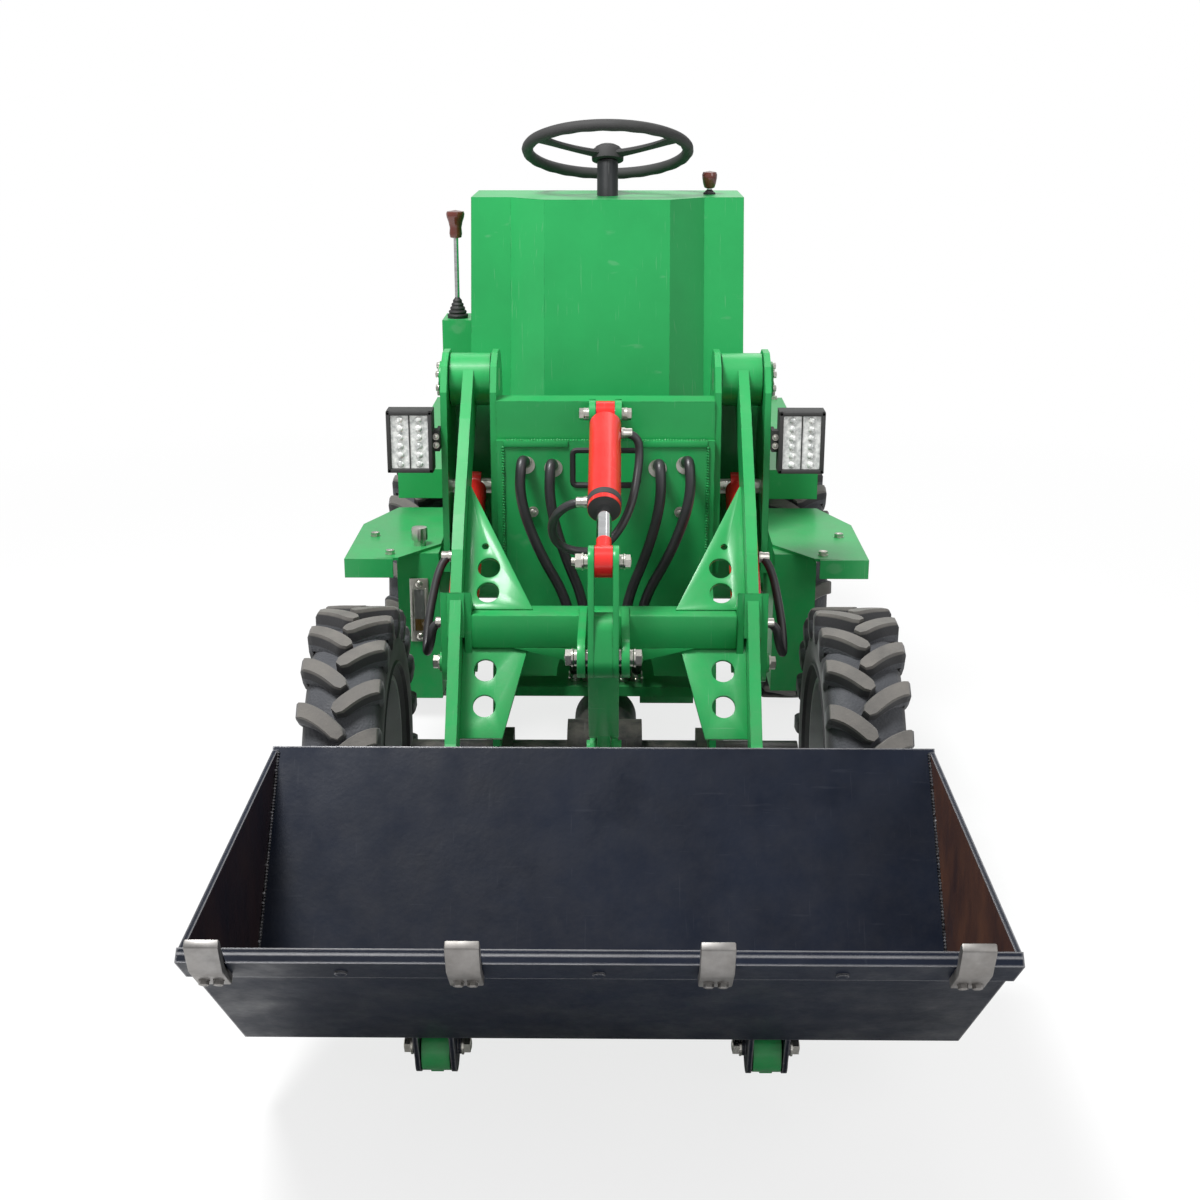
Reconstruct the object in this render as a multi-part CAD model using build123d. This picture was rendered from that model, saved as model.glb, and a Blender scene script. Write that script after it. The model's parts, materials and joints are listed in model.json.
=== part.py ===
# Electric articulated mini loader, built in millimetres.
# +Z is up, the machine faces -Y, +X is the right side of the photo, tyres and bucket ears stand on Z = 0.
import os
from math import atan2, cos, degrees, hypot, radians, sin

from build123d import *

os.makedirs("parts", exist_ok=True)

# Overall places
LENGTH = 2800.0
FRONT_END = -LENGTH / 2
REAR_END = LENGTH / 2
BUCKET_WIDTH = 1100.0
FRONT_AXLE_Y = -340.0
REAR_AXLE_Y = 860.0
PIVOT_Y = 260.0
AXLE_Z = 300.0

# Wheels
TYRE_R = 300.0
TYRE_INNER_X = 390.0
TYRE_OUTER_X = 540.0
RIM_R = 168.0
SPINDLE_R = 25.0
SPINDLE_GAP = 0.05

# Loader linkage pins in the side plane (Y, Z)
ARM_PIVOT = (-100.0, 995.0)
LIFT_BASE = (-110.0, 788.0)
LIFT_EYE = (-470.0, 551.0)
TILT_BASE = (-240.0, 955.0)
CRANK_PIVOT = (-643.0, 621.0)
CRANK_TOP = (-631.0, 785.0)
CRANK_FOOT = (-518.0, 404.0)
BUCKET_PIN = (-968.0, 84.0)
LINK_PIN = (-945.0, 176.0)
CROSS_TUBE = (-470.0, 617.0)
CROSS_TUBE_R = 30.0

# Rear group: how far each piece ends ahead of the machine's rear end
COUNTERWEIGHT_L = 100.0
DECK_END_GAP = 60.0
HOOD_END_GAP = 150.0
TOW_PIN_GAP = 28.0
BODY_Y1 = REAR_END - COUNTERWEIGHT_L
DECK_Y1 = REAR_END - DECK_END_GAP
HOOD_Y0 = 620.0
HOOD_Y1 = REAR_END - HOOD_END_GAP

# Body sides: clear of the tyres, with the tank and the side box let into them
BODY_TYRE_GAP = 20.0
BODY_HALF = TYRE_INNER_X - BODY_TYRE_GAP
TANK_LAP = 18.0
TANK_W = 88.0
TANK_IN = BODY_HALF - TANK_LAP
TANK_OUT = TANK_IN + TANK_W
DECK_HALF = 480.0

# Travel of the leading joints, degrees
LIFT_RANGE = 78.0
TILT_RANGE = 135.0
STEER_RANGE = 35.0
HOOD_RANGE = 65.0

# Arms
ARM_X = 260.0
ARM_PLATE = 20.0

# Steering cylinder pins (X, Y)
STEER_Z = 300.0
STEER_BASE = (160.0, 640.0)
STEER_EYE = (115.0, 255.0)

# Running clearances
PIN_GAP = 0.05


def block(x0, x1, y0, y1, z0, z1):
    size = Box(x1 - x0, y1 - y0, z1 - z0)
    return Pos((x0 + x1) / 2, (y0 + y1) / 2, (z0 + z1) / 2) * size


def rod_x(x0, x1, y, z, radius):
    return Pos((x0 + x1) / 2, y, z) * Rot(0, 90, 0) * Cylinder(radius, x1 - x0)


def rod_y(x, y0, y1, z, radius):
    return Pos(x, (y0 + y1) / 2, z) * Rot(90, 0, 0) * Cylinder(radius, y1 - y0)


def rod_z(x, y, z0, z1, radius):
    return Pos(x, y, (z0 + z1) / 2) * Cylinder(radius, z1 - z0)


def side_plate(points, x0, x1):
    face = make_face(Polyline([(0, y, z) for y, z in points], close=True))
    return Pos(x0, 0, 0) * extrude(face, x1 - x0, dir=(1, 0, 0))


def flat_plate(points, z0, z1):
    face = make_face(Polyline([(x, y, 0) for x, y in points], close=True))
    return Pos(0, 0, z0) * extrude(face, z1 - z0, dir=(0, 0, 1))


def front_plate(points, y0, y1):
    face = make_face(Polyline([(x, 0, z) for x, z in points], close=True))
    return Pos(0, y0, 0) * extrude(face, y1 - y0, dir=(0, 1, 0))


def between(start, end, d0, d1, radius, x=0.0):
    # Round bar in the side plane, from d0 to d1 along the line from start to end
    angle = degrees(atan2(end[1] - start[1], end[0] - start[0]))
    bar = Pos((d0 + d1) / 2, 0, 0) * Rot(0, 90, 0) * Cylinder(radius, d1 - d0)
    return Pos(x, start[0], start[1]) * Rot(angle, 0, 0) * Rot(0, 0, 90) * bar


def tapered_bar(start, end, half0, half1, x0, x1):
    # Flat bar in the side plane between two pins, with its half widths at each
    length = span(start, end)
    ny = -(end[1] - start[1]) / length
    nz = (end[0] - start[0]) / length
    corners = [
        (start[0] + ny * half0, start[1] + nz * half0),
        (end[0] + ny * half1, end[1] + nz * half1),
        (end[0] - ny * half1, end[1] - nz * half1),
        (start[0] - ny * half0, start[1] - nz * half0),
    ]
    return side_plate(corners, x0, x1)


def span(start, end):
    return hypot(end[0] - start[0], end[1] - start[1])


def mirror_x(shape):
    return mirror(shape, about=Plane.YZ)


def both(shape):
    return Compound(children=[*shape.solids(), *mirror_x(shape).solids()])


def save(shape, name):
    export_step(shape, f"parts/{name}.step")


# Wheels: tyre with its carcass, rim with disc and hub
def make_tyre():
    half = (TYRE_OUTER_X - TYRE_INNER_X) / 2
    outline = [
        (RIM_R, -half + 18),
        (RIM_R + 30, -half + 3),
        (TYRE_R - 75, -half),
        (TYRE_R - 30, -half + 8),
        (TYRE_R, -half + 26),
        (TYRE_R, half - 26),
        (TYRE_R - 30, half - 8),
        (TYRE_R - 75, half),
        (RIM_R + 30, half - 3),
        (RIM_R, half - 18),
    ]
    face = make_face(Polyline([(r, 0, t) for r, t in outline], close=True))
    return Rot(0, 90, 0) * revolve(face, Axis.Z)


def make_rim():
    half = (TYRE_OUTER_X - TYRE_INNER_X) / 2
    outline = [
        (RIM_R - 0.0, -half + 18),
        (RIM_R - 0.0, half - 18),
        (RIM_R - 10, half - 18),
        (RIM_R - 16, half - 40),
        (RIM_R - 22, 8),
        (90, 2),
        (80, 26),
        (SPINDLE_R + SPINDLE_GAP, 26),
        (SPINDLE_R + SPINDLE_GAP, -30),
        (80, -30),
        (90, -8),
        (RIM_R - 22, -4),
        (RIM_R - 10, -half + 18),
    ]
    face = make_face(Polyline([(r, 0, t) for r, t in outline], close=True))
    return Rot(0, 90, 0) * revolve(face, Axis.Z)


tyre = make_tyre()
rim = make_rim()
WHEEL_X = (TYRE_INNER_X + TYRE_OUTER_X) / 2
for end, axle_y in (("front", FRONT_AXLE_Y), ("rear", REAR_AXLE_Y)):
    for side, sign in (("left", -1), ("right", 1)):
        place = Pos(sign * WHEEL_X, axle_y, AXLE_Z)
        turn = Rot(0, 0, 0 if sign > 0 else 180)
        save(place * turn * tyre, f"tyre_{end}_{side}")
        save(place * turn * rim, f"rim_{end}_{side}")

# Axles
HUB_FACE_X = 425.0


def make_axle(axle_y, pad_half_x, pad_z):
    body = rod_x(-HUB_FACE_X, HUB_FACE_X, axle_y, AXLE_Z, 45)
    body -= rod_x(HUB_FACE_X - 60, HUB_FACE_X + 1, axle_y, AXLE_Z, 60) - rod_x(
        HUB_FACE_X - 60, HUB_FACE_X + 1, axle_y, AXLE_Z, SPINDLE_R)
    body -= rod_x(-HUB_FACE_X - 1, -HUB_FACE_X + 60, axle_y, AXLE_Z, 60) - rod_x(
        -HUB_FACE_X - 1, -HUB_FACE_X + 60, axle_y, AXLE_Z, SPINDLE_R)
    spindle = rod_x(-WHEEL_X - 26, WHEEL_X + 26, axle_y, AXLE_Z, SPINDLE_R)
    gear_case = rod_x(-70, 70, axle_y, AXLE_Z, 85)
    pads = block(-pad_half_x - 25, -pad_half_x + 25, axle_y - 60, axle_y + 60, AXLE_Z + 20, pad_z)
    pads += block(pad_half_x - 25, pad_half_x + 25, axle_y - 60, axle_y + 60, AXLE_Z + 20, pad_z)
    return body + spindle + gear_case + pads


CHASSIS_X = 199.0
CHASSIS_PLATE = 12.0
CHASSIS_LOW_Z = 350.0
RAIL_X = 165.0
RAIL_W = 60.0
RAIL_Z0 = 350.0
RAIL_Z1 = 420.0
save(make_axle(FRONT_AXLE_Y, CHASSIS_X, CHASSIS_LOW_Z), "front_axle")
save(make_axle(REAR_AXLE_Y, RAIL_X, RAIL_Z0), "rear_axle")

# Front drive motor, bolted behind the front axle's gear case
MOTOR_R = 62.0
motor = rod_y(0, FRONT_AXLE_Y + 85, FRONT_AXLE_Y + 245, AXLE_Z, MOTOR_R)
save(motor, "front_motor")

# Front chassis: two side plates, front plate, neck plates and pivot tube
FRONT_PLATE_Y = -210.0
PLATE_T = 12.0
chassis_profile = [
    (-112, CHASSIS_LOW_Z),
    (-112, 612),
    (-60, 680),
    (-60, 880),
    (-198, 898),
    (-210, 898),
    (-210, 640),
    (-390, 520),
    (-440, CHASSIS_LOW_Z),
]
side_l = side_plate(chassis_profile, -205, -193)
side_r = side_plate(chassis_profile, 193, 205)
face_plate = block(-193, 193, FRONT_PLATE_Y, FRONT_PLATE_Y + PLATE_T, 430, 898)
arch = rod_y(0, FRONT_PLATE_Y - 1, FRONT_PLATE_Y + PLATE_T + 1, 430, 95)
face_plate -= arch
HOSE_HOLES = [(-150.0, 852.0), (-98.0, 846.0), (98.0, 846.0), (150.0, 852.0)]
for x, z in HOSE_HOLES:
    face_plate -= rod_y(x, FRONT_PLATE_Y - 1, FRONT_PLATE_Y + PLATE_T + 1, z, 17)
face_plate -= block(-62, 62, FRONT_PLATE_Y - 1, FRONT_PLATE_Y + PLATE_T + 1, 812, 880)
NECK_PLATES = [(380.0, 400.0), (515.0, 535.0)]
PIVOT_PIN_R = 20.0
NECK_TUBE_R = 45.0
neck_outline = [(-193, -190), (193, -190), (193, -112), (45, 255), (-45, 255), (-193, -112)]
neck = rod_z(0, PIVOT_Y, 375, 540, NECK_TUBE_R)
for z0, z1 in NECK_PLATES:
    neck += flat_plate(neck_outline, z0, z1)
STEER_ARM_Z0 = STEER_Z + 16
STEER_ARM_Z1 = STEER_Z + 34
neck += rod_z(*STEER_EYE, STEER_ARM_Z0, STEER_ARM_Z1, 28)
neck += flat_plate([(70, -60), (160, -60), (143, 255), (87, 255)], STEER_ARM_Z0, STEER_ARM_Z1)
neck += block(70, 180, -60, -42, STEER_ARM_Z0, 385)
neck -= rod_z(0, PIVOT_Y, 300, 600, PIVOT_PIN_R + PIN_GAP)
save(side_l + side_r + face_plate + neck, "front_chassis")

# Loader towers: channels open to the front
TOWER_IN = 205.0
TOWER_OUT = 310.0
TOWER_PLATE = 12.0
TOWER_PROFILE = [
    (-12, 640),
    (-12, 985),
    (-40, 1032),
    (-80, 1050),
    (-125, 1050),
    (-165, 1030),
    (-190, 985),
    (-205, 640),
]
inner = side_plate(TOWER_PROFILE, TOWER_IN, TOWER_IN + TOWER_PLATE)
outer = side_plate(TOWER_PROFILE, TOWER_OUT - TOWER_PLATE, TOWER_OUT)
back = block(TOWER_IN + TOWER_PLATE, TOWER_OUT - TOWER_PLATE, -24, -12, 640, 985)
tower = inner + outer + back
tower += rod_x(TOWER_OUT, TOWER_OUT + 8, *ARM_PIVOT, 34)
ARM_PIN_R = 22.0
LIFT_PIN_R = 15.0
arm_pin = rod_x(TOWER_IN, TOWER_OUT + 8, *ARM_PIVOT, ARM_PIN_R)
lift_pin = rod_x(TOWER_IN, TOWER_OUT, *LIFT_BASE, LIFT_PIN_R)
tower -= arm_pin + lift_pin
save(tower, "tower_right")
save(mirror_x(tower), "tower_left")
save(both(arm_pin), "arm_pivot_pins")
save(both(lift_pin), "lift_base_pins")

# Crossbeam between the towers with the clevis of the tilt cylinder
TILT_PIN_R = 12.0
beam = block(-TOWER_IN, TOWER_IN, -195, -135, 898, 970)
for x0, x1 in ((-30, -18), (18, 30)):
    ear = rod_x(x0, x1, *TILT_BASE, 26)
    ear += side_plate([(-195, 927), (-195, 970), (-240, 983), (-240, 927)], x0, x1)
    beam += ear
beam -= rod_x(-40, 40, *TILT_BASE, TILT_PIN_R)
save(beam, "crossbeam")

# Work lamps on their brackets
LAMP_IN = TOWER_OUT + 12.0
LAMP_W = 85.0
lamp = block(LAMP_IN, LAMP_IN + LAMP_W, -232, -190, 842, 958)
lamp += block(TOWER_OUT, LAMP_IN, -222, -200, 880, 920)
lamp += block(TOWER_OUT, LAMP_IN - 6, -222, -180, 880, 920)
save(both(lamp), "work_lamps")

# Arms: banana plates with sleeves in the towers and ears for the lift cylinders
ARM_FRONT = [(-118, 1040), (-238, 946), (-305, 887), (-401, 805), (-447, 753), (-655, 468), (-1000, 106)]
ARM_REAR = [(-985, 45), (-950, 42), (-700, 330), (-540, 500), (-425, 640), (-340, 730), (-230, 832), (-80, 948)]
EAR_IN = 15.0
EAR_OUT = 27.0
arm = side_plate(ARM_FRONT + ARM_REAR, ARM_X - ARM_PLATE / 2, ARM_X + ARM_PLATE / 2)
arm += rod_x(ARM_X - 40, ARM_X + 36, *ARM_PIVOT, 50)
arm += rod_x(ARM_X - 22, ARM_X + 22, *BUCKET_PIN, 40)
arm -= rod_x(ARM_X - EAR_IN, ARM_X + EAR_IN, *LIFT_EYE, 46)
for x0, x1 in ((ARM_X - EAR_OUT, ARM_X - EAR_IN), (ARM_X + EAR_IN, ARM_X + EAR_OUT)):
    ear = rod_x(x0, x1, *LIFT_EYE, 34)
    ear += side_plate([(-504, 551), (-448, 560), (-441, 640), (-500, 690)], x0, x1)
    arm += ear
arm += side_plate([(-515, 612), (-450, 625), (-441, 650), (-500, 690)], ARM_X - EAR_IN, ARM_X + EAR_IN)
arm += rod_x(ARM_X - EAR_OUT - 6, ARM_X - EAR_OUT, *LIFT_EYE, 18)
arm += rod_x(ARM_X + EAR_OUT, ARM_X + EAR_OUT + 6, *LIFT_EYE, 18)
arm -= rod_x(200, 320, *ARM_PIVOT, ARM_PIN_R + PIN_GAP)
BUCKET_PIN_R = 15.0
arm -= rod_x(200, 320, *BUCKET_PIN, BUCKET_PIN_R + PIN_GAP)
save(arm, "arm_right")
save(mirror_x(arm), "arm_left")

# Cross member of the arms with the bell-crank lugs
CRANK_PIN_R = 15.0
inner_x = ARM_X - EAR_OUT
cross = rod_x(-inner_x, inner_x, *CROSS_TUBE, CROSS_TUBE_R)
for x0, x1 in ((-46, -30), (30, 46)):
    lug = rod_x(x0, x1, *CRANK_PIVOT, 34)
    lug += side_plate([(-643, 655), (-643, 587), (-470, 587), (-470, 647)], x0, x1)
    cross += lug
cross -= rod_x(-60, 60, *CRANK_PIVOT, CRANK_PIN_R)
cross += rod_x(-52, -16, *CRANK_PIVOT, CRANK_PIN_R) + rod_x(16, 52, *CRANK_PIVOT, CRANK_PIN_R)
cross += rod_x(-17, 17, *CRANK_PIVOT, CRANK_PIN_R)
save(cross, "arm_cross_member")

# Bell crank: a lever on its pin with an eye at each end
crank = rod_x(-22, 22, *CRANK_PIVOT, 36)
crank += rod_x(-12, 12, *CRANK_FOOT, 30)
crank += tapered_bar(CRANK_PIVOT, CRANK_TOP, 34, 28, -12, 12)
crank += tapered_bar(CRANK_PIVOT, CRANK_FOOT, 34, 27, -12, 12)
for x0, x1 in ((-28, -16), (16, 28)):
    crank += rod_x(x0, x1, *CRANK_TOP, 28)
    crank += side_plate([(-657, 785), (-605, 785), (-612, 660), (-668, 660)], x0, x1)
crank += block(-28, 28, -662, -612, 662, 700)
crank -= block(-15.5, 15.5, -700, -560, 700, 850)
crank -= rod_x(-60, 60, *CRANK_PIVOT, CRANK_PIN_R + PIN_GAP)
crank += rod_x(-34, -28, *CRANK_TOP, 16) + rod_x(28, 34, *CRANK_TOP, 16)
save(crank, "bell_crank")

# Link between the bell crank's foot and the bucket's middle ears
link = None
for x0, x1 in ((-25, -13), (13, 25)):
    bar = rod_x(x0, x1, *CRANK_FOOT, 28) + rod_x(x0, x1, *LINK_PIN, 25)
    bar += tapered_bar(CRANK_FOOT, LINK_PIN, 24, 22, x0, x1)
    link = bar if link is None else link + bar
spacer_y = (CRANK_FOOT[0] + LINK_PIN[0]) / 2
spacer_z = (CRANK_FOOT[1] + LINK_PIN[1]) / 2
link += rod_x(-13, 13, spacer_y, spacer_z, 14)
link += rod_x(-31, -25, *CRANK_FOOT, 16) + rod_x(25, 31, *CRANK_FOOT, 16)
LINK_PIN_R = 12.0
link -= rod_x(-40, 40, *LINK_PIN, LINK_PIN_R + PIN_GAP)
save(link, "bucket_link")

# Bucket: folded plate shell with side plates and rear ears
LIP = (-1363.0, 466.0)
HEEL = (-1032.0, 135.0)
TOP_BACK = (-704.0, 481.0)
SHEET = 8.0
half_w = BUCKET_WIDTH / 2
fl = hypot(LIP[0] - HEEL[0], LIP[1] - HEEL[1])
fu = ((LIP[0] - HEEL[0]) / fl, (LIP[1] - HEEL[1]) / fl)
bl = hypot(TOP_BACK[0] - HEEL[0], TOP_BACK[1] - HEEL[1])
bu = ((TOP_BACK[0] - HEEL[0]) / bl, (TOP_BACK[1] - HEEL[1]) / bl)
f_in = (-fu[1], fu[0])
if f_in[1] < 0:
    f_in = (-f_in[0], -f_in[1])
b_in = (-bu[1], bu[0])
if b_in[1] < 0:
    b_in = (-b_in[0], -b_in[1])
half_angle = (atan2(bu[1], bu[0]) - atan2(fu[1], fu[0])) / 2
reach = SHEET / abs(sin(half_angle))
mid = ((fu[0] + bu[0]) / 2, (fu[1] + bu[1]) / 2)
ml = hypot(*mid)
HEEL_IN = (HEEL[0] + mid[0] / ml * reach, HEEL[1] + mid[1] / ml * reach)
floor_back = [
    LIP,
    HEEL,
    TOP_BACK,
    (TOP_BACK[0] + b_in[0] * SHEET, TOP_BACK[1] + b_in[1] * SHEET),
    HEEL_IN,
    (LIP[0] + f_in[0] * SHEET, LIP[1] + f_in[1] * SHEET),
]
shell = side_plate(floor_back, -half_w, half_w)
side = side_plate([LIP, HEEL, TOP_BACK], half_w - SHEET, half_w)
shell += side + mirror_x(side)


def back_point(distance):
    # Point inside the back sheet, at a distance from the heel
    depth = SHEET / 2
    return (HEEL[0] + bu[0] * distance + b_in[0] * depth, HEEL[1] + bu[1] * distance + b_in[1] * depth)


EAR_X = [(-292.0, -284.0), (-236.0, -228.0), (228.0, 236.0), (284.0, 292.0)]
for x0, x1 in EAR_X:
    ear = rod_x(x0, x1, *BUCKET_PIN, 42)
    ear += side_plate([back_point(2), (-1000, 56), (-935, 60), (-850, 240), back_point(225)], x0, x1)
    ear -= rod_x(x0 - 1, x1 + 1, *BUCKET_PIN, BUCKET_PIN_R)
    shell += ear
for x0, x1 in ((-48, -34), (34, 48)):
    ear = rod_x(x0, x1, *LINK_PIN, 30)
    ear += side_plate([back_point(45), (-972, 156), (-918, 160), (-850, 290), back_point(240)], x0, x1)
    shell += ear
shell += rod_x(-52, 52, *LINK_PIN, LINK_PIN_R)
for sign in (-1, 1):
    pin = rod_x(ARM_X - 38, ARM_X + 38, *BUCKET_PIN, BUCKET_PIN_R)
    shell += pin if sign > 0 else mirror_x(pin)
save(shell, "bucket_shell")

# Bolt-on wear edge under the lip
EDGE_T = 12.0
EDGE_W = 70.0
tip = (LIP[0] + fu[0] * 0, LIP[1] + fu[1] * 0)
edge_profile = [
    tip,
    (tip[0] - fu[0] * EDGE_W, tip[1] - fu[1] * EDGE_W),
    (tip[0] - fu[0] * EDGE_W - f_in[0] * EDGE_T, tip[1] - fu[1] * EDGE_W - f_in[1] * EDGE_T),
    (tip[0] - f_in[0] * EDGE_T, tip[1] - f_in[1] * EDGE_T),
]
save(side_plate(edge_profile, -half_w, half_w), "cutting_edge")

# Four bolted bent-shank teeth over the lip
TOOTH_W = 45.0
TOOTH_X = [43 - half_w, -174.0, 153.0, half_w - 66]
TOOTH_OUT = 60.36
tooth_profile = [
    (LIP[0] + f_in[0] * SHEET, LIP[1] + f_in[1] * SHEET),
    (LIP[0] + f_in[0] * SHEET - fu[0] * 60, LIP[1] + f_in[1] * SHEET - fu[1] * 60),
    (LIP[0] + f_in[0] * (SHEET + 14) - fu[0] * 60, LIP[1] + f_in[1] * (SHEET + 14) - fu[1] * 60),
    (LIP[0] + f_in[0] * (SHEET + 14) + fu[0] * TOOTH_OUT, LIP[1] + f_in[1] * (SHEET + 14) + fu[1] * TOOTH_OUT),
    (LIP[0] + f_in[0] * SHEET + fu[0] * TOOTH_OUT, LIP[1] + f_in[1] * SHEET + fu[1] * TOOTH_OUT),
]
teeth = [side_plate(tooth_profile, x - TOOTH_W / 2, x + TOOTH_W / 2) for x in TOOTH_X]
save(Compound(children=teeth), "bucket_teeth")

# Tilt cylinder: base pin, barrel, piston and rod
TILT_LEN = span(TILT_BASE, CRANK_TOP)
TILT_GLAND = TILT_LEN - 140.0
TILT_BORE_R = 22.0
TILT_TUBE_R = 29.0
TILT_ROD_R = 13.0
base_pin = rod_x(-38, 38, *TILT_BASE, TILT_PIN_R - PIN_GAP)
save(base_pin, "tilt_base_pin")
barrel = rod_x(-17, 17, *TILT_BASE, 24) + between(TILT_BASE, CRANK_TOP, 0, 40, 17)
barrel += between(TILT_BASE, CRANK_TOP, 34, TILT_GLAND, TILT_TUBE_R)
barrel -= between(TILT_BASE, CRANK_TOP, 45, TILT_GLAND - 18, TILT_BORE_R)
barrel -= between(TILT_BASE, CRANK_TOP, TILT_GLAND - 30, TILT_GLAND + 1, TILT_ROD_R + PIN_GAP)
barrel -= rod_x(-30, 30, *TILT_BASE, TILT_PIN_R)
save(barrel, "tilt_barrel")
piston = between(TILT_BASE, CRANK_TOP, 47, 62, TILT_BORE_R - 0.3)
save(piston, "tilt_piston")
rod = between(TILT_BASE, CRANK_TOP, TILT_GLAND - 125, TILT_LEN, TILT_ROD_R)
rod += rod_x(-15, 15, *CRANK_TOP, 27)
save(rod, "tilt_rod")

# Lift cylinders
LIFT_LEN = span(LIFT_BASE, LIFT_EYE)
LIFT_GLAND = LIFT_LEN - 66.0
lift_barrel = rod_x(ARM_X - 18, ARM_X + 18, *LIFT_BASE, 27)
lift_barrel += between(LIFT_BASE, LIFT_EYE, 10, LIFT_GLAND, 28, ARM_X)
lift_barrel -= rod_x(ARM_X - 40, ARM_X + 40, *LIFT_BASE, LIFT_PIN_R + PIN_GAP)
lift_barrel -= between(LIFT_BASE, LIFT_EYE, 60, LIFT_GLAND + 1, 14 + PIN_GAP, ARM_X)
save(both(lift_barrel), "lift_barrels")
lift_rod = between(LIFT_BASE, LIFT_EYE, 70, LIFT_LEN, 14, ARM_X)
lift_rod += rod_x(ARM_X - 14.5, ARM_X + 14.5, *LIFT_EYE, 27)
save(both(lift_rod), "lift_rods")


# Steering cylinder, lying flat under the pivot
def flat_bar(start, end, d0, d1, radius, z):
    angle = degrees(atan2(end[1] - start[1], end[0] - start[0]))
    bar = Pos((d0 + d1) / 2, 0, 0) * Rot(0, 90, 0) * Cylinder(radius, d1 - d0)
    return Pos(start[0], start[1], z) * Rot(0, 0, angle) * bar


STEER_LEN = span(STEER_BASE, STEER_EYE)
STEER_GLAND = STEER_LEN - 110.0
steer_barrel = rod_z(*STEER_BASE, STEER_Z - 15, STEER_Z + 15, 26)
steer_barrel += flat_bar(STEER_BASE, STEER_EYE, 0, 40, 14, STEER_Z)
steer_barrel += flat_bar(STEER_BASE, STEER_EYE, 34, STEER_GLAND, 25, STEER_Z)
steer_barrel -= flat_bar(STEER_BASE, STEER_EYE, 45, STEER_GLAND + 1, 12 + PIN_GAP, STEER_Z)
steer_barrel -= rod_z(*STEER_BASE, STEER_Z - 60, STEER_Z + 60, 12 + PIN_GAP)
save(steer_barrel, "steer_barrel")
steer_rod = flat_bar(STEER_BASE, STEER_EYE, 125, STEER_LEN, 12, STEER_Z)
steer_rod += rod_z(*STEER_EYE, STEER_Z - 14, STEER_Z + 14, 25)
save(steer_rod, "steer_rod")

BODY_Y0 = 450.0
FLOOR_Z = 600.0

# Rear chassis: channel rails, bulkhead with pivot lugs, cross members
RAIL_Y1 = REAR_END - 15
rail = block(RAIL_X - 30, RAIL_X + 30, 342, RAIL_Y1, RAIL_Z0, RAIL_Z1)
rail -= block(RAIL_X - 24, RAIL_X + 31, 341, RAIL_Y1 + 1, RAIL_Z0 + 6, RAIL_Z1 - 6)
chassis = rail + mirror_x(rail)
bulkhead = block(-210, 210, 330, 342, RAIL_Z0 - 5, 594)
bulkhead += block(-351, 351, 330, BODY_Y0, FLOOR_Z - 6, FLOOR_Z)
chassis += bulkhead
lug_outline = [(-110, 331), (-50, 250), (50, 250), (110, 331)]
for z0, z1 in ((345, 370), (545, 570)):
    chassis += flat_plate(lug_outline, z0, z1) + rod_z(0, PIVOT_Y, z0, z1, 50)
chassis -= rod_z(0, PIVOT_Y, 300, 600, PIVOT_PIN_R)
for y in (700, 1020, RAIL_Y1 - 15):
    chassis += block(-RAIL_X + 30, RAIL_X - 30, y, y + 12, RAIL_Z0, RAIL_Z1)
steer_lug = rod_z(*STEER_BASE, STEER_Z + 17, STEER_Z + 29, 28)
steer_lug += block(STEER_BASE[0] - 28, STEER_BASE[0] + 28, 640, 690, STEER_Z + 17, STEER_Z + 29)
steer_lug += block(STEER_BASE[0] - 25, STEER_BASE[0] + 28, 665, 690, STEER_Z + 17, RAIL_Z0 + 1)
steer_lug += rod_z(*STEER_BASE, STEER_Z - 22, STEER_Z + 20, 12)
steer_lug += rod_z(*STEER_BASE, STEER_Z - 26, STEER_Z - 17, 20)
chassis += steer_lug
save(chassis, "rear_chassis")
save(rod_z(0, PIVOT_Y, 335, 580, PIVOT_PIN_R), "pivot_pin")

HOOD_HINGE = (HOOD_Y1 + 12.0, 700.0)
HINGE_PIN_R = 4.0

# Rear body shell with deck edges over the wheels
BODY_Z0 = RAIL_Z1
DECK_Z = 690.0
WALL = 5.0
body = block(-BODY_HALF, BODY_HALF, BODY_Y0, BODY_Y1, BODY_Z0, DECK_Z - WALL)
body -= block(-BODY_HALF + WALL, BODY_HALF - WALL, BODY_Y0 + WALL, BODY_Y1 - WALL, BODY_Z0 + WALL, DECK_Z + 1)
save(body, "rear_body")
deck = block(-DECK_HALF, DECK_HALF, BODY_Y0, DECK_Y1, DECK_Z - WALL, DECK_Z)
deck -= block(-300, 300, HOOD_Y0 + 20, HOOD_Y1 - 10, DECK_Z - WALL - 1, DECK_Z + 1)
for sign in (-1, 1):
    skirt = block(DECK_HALF - WALL, DECK_HALF, BODY_Y0, DECK_Y1, 622, DECK_Z)
    deck += skirt if sign > 0 else mirror_x(skirt)
deck += both(block(BODY_HALF, DECK_HALF, BODY_Y0, BODY_Y0 + WALL, 622, DECK_Z))
for x in (-240, 240):
    deck += rod_x(x - 40, x + 40, *HOOD_HINGE, HINGE_PIN_R)
    for x0, x1 in ((x - 40, x - 26), (x + 26, x + 40)):
        deck += rod_x(x0, x1, *HOOD_HINGE, 9) + block(x0, x1, HOOD_HINGE[0] - 7, HOOD_HINGE[0] + 7, DECK_Z - 1, HOOD_HINGE[1])
save(deck, "rear_deck")
save(block(-280, 280, 500, BODY_Y1 - 80, BODY_Z0 + WALL, 660), "battery_pack")

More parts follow.
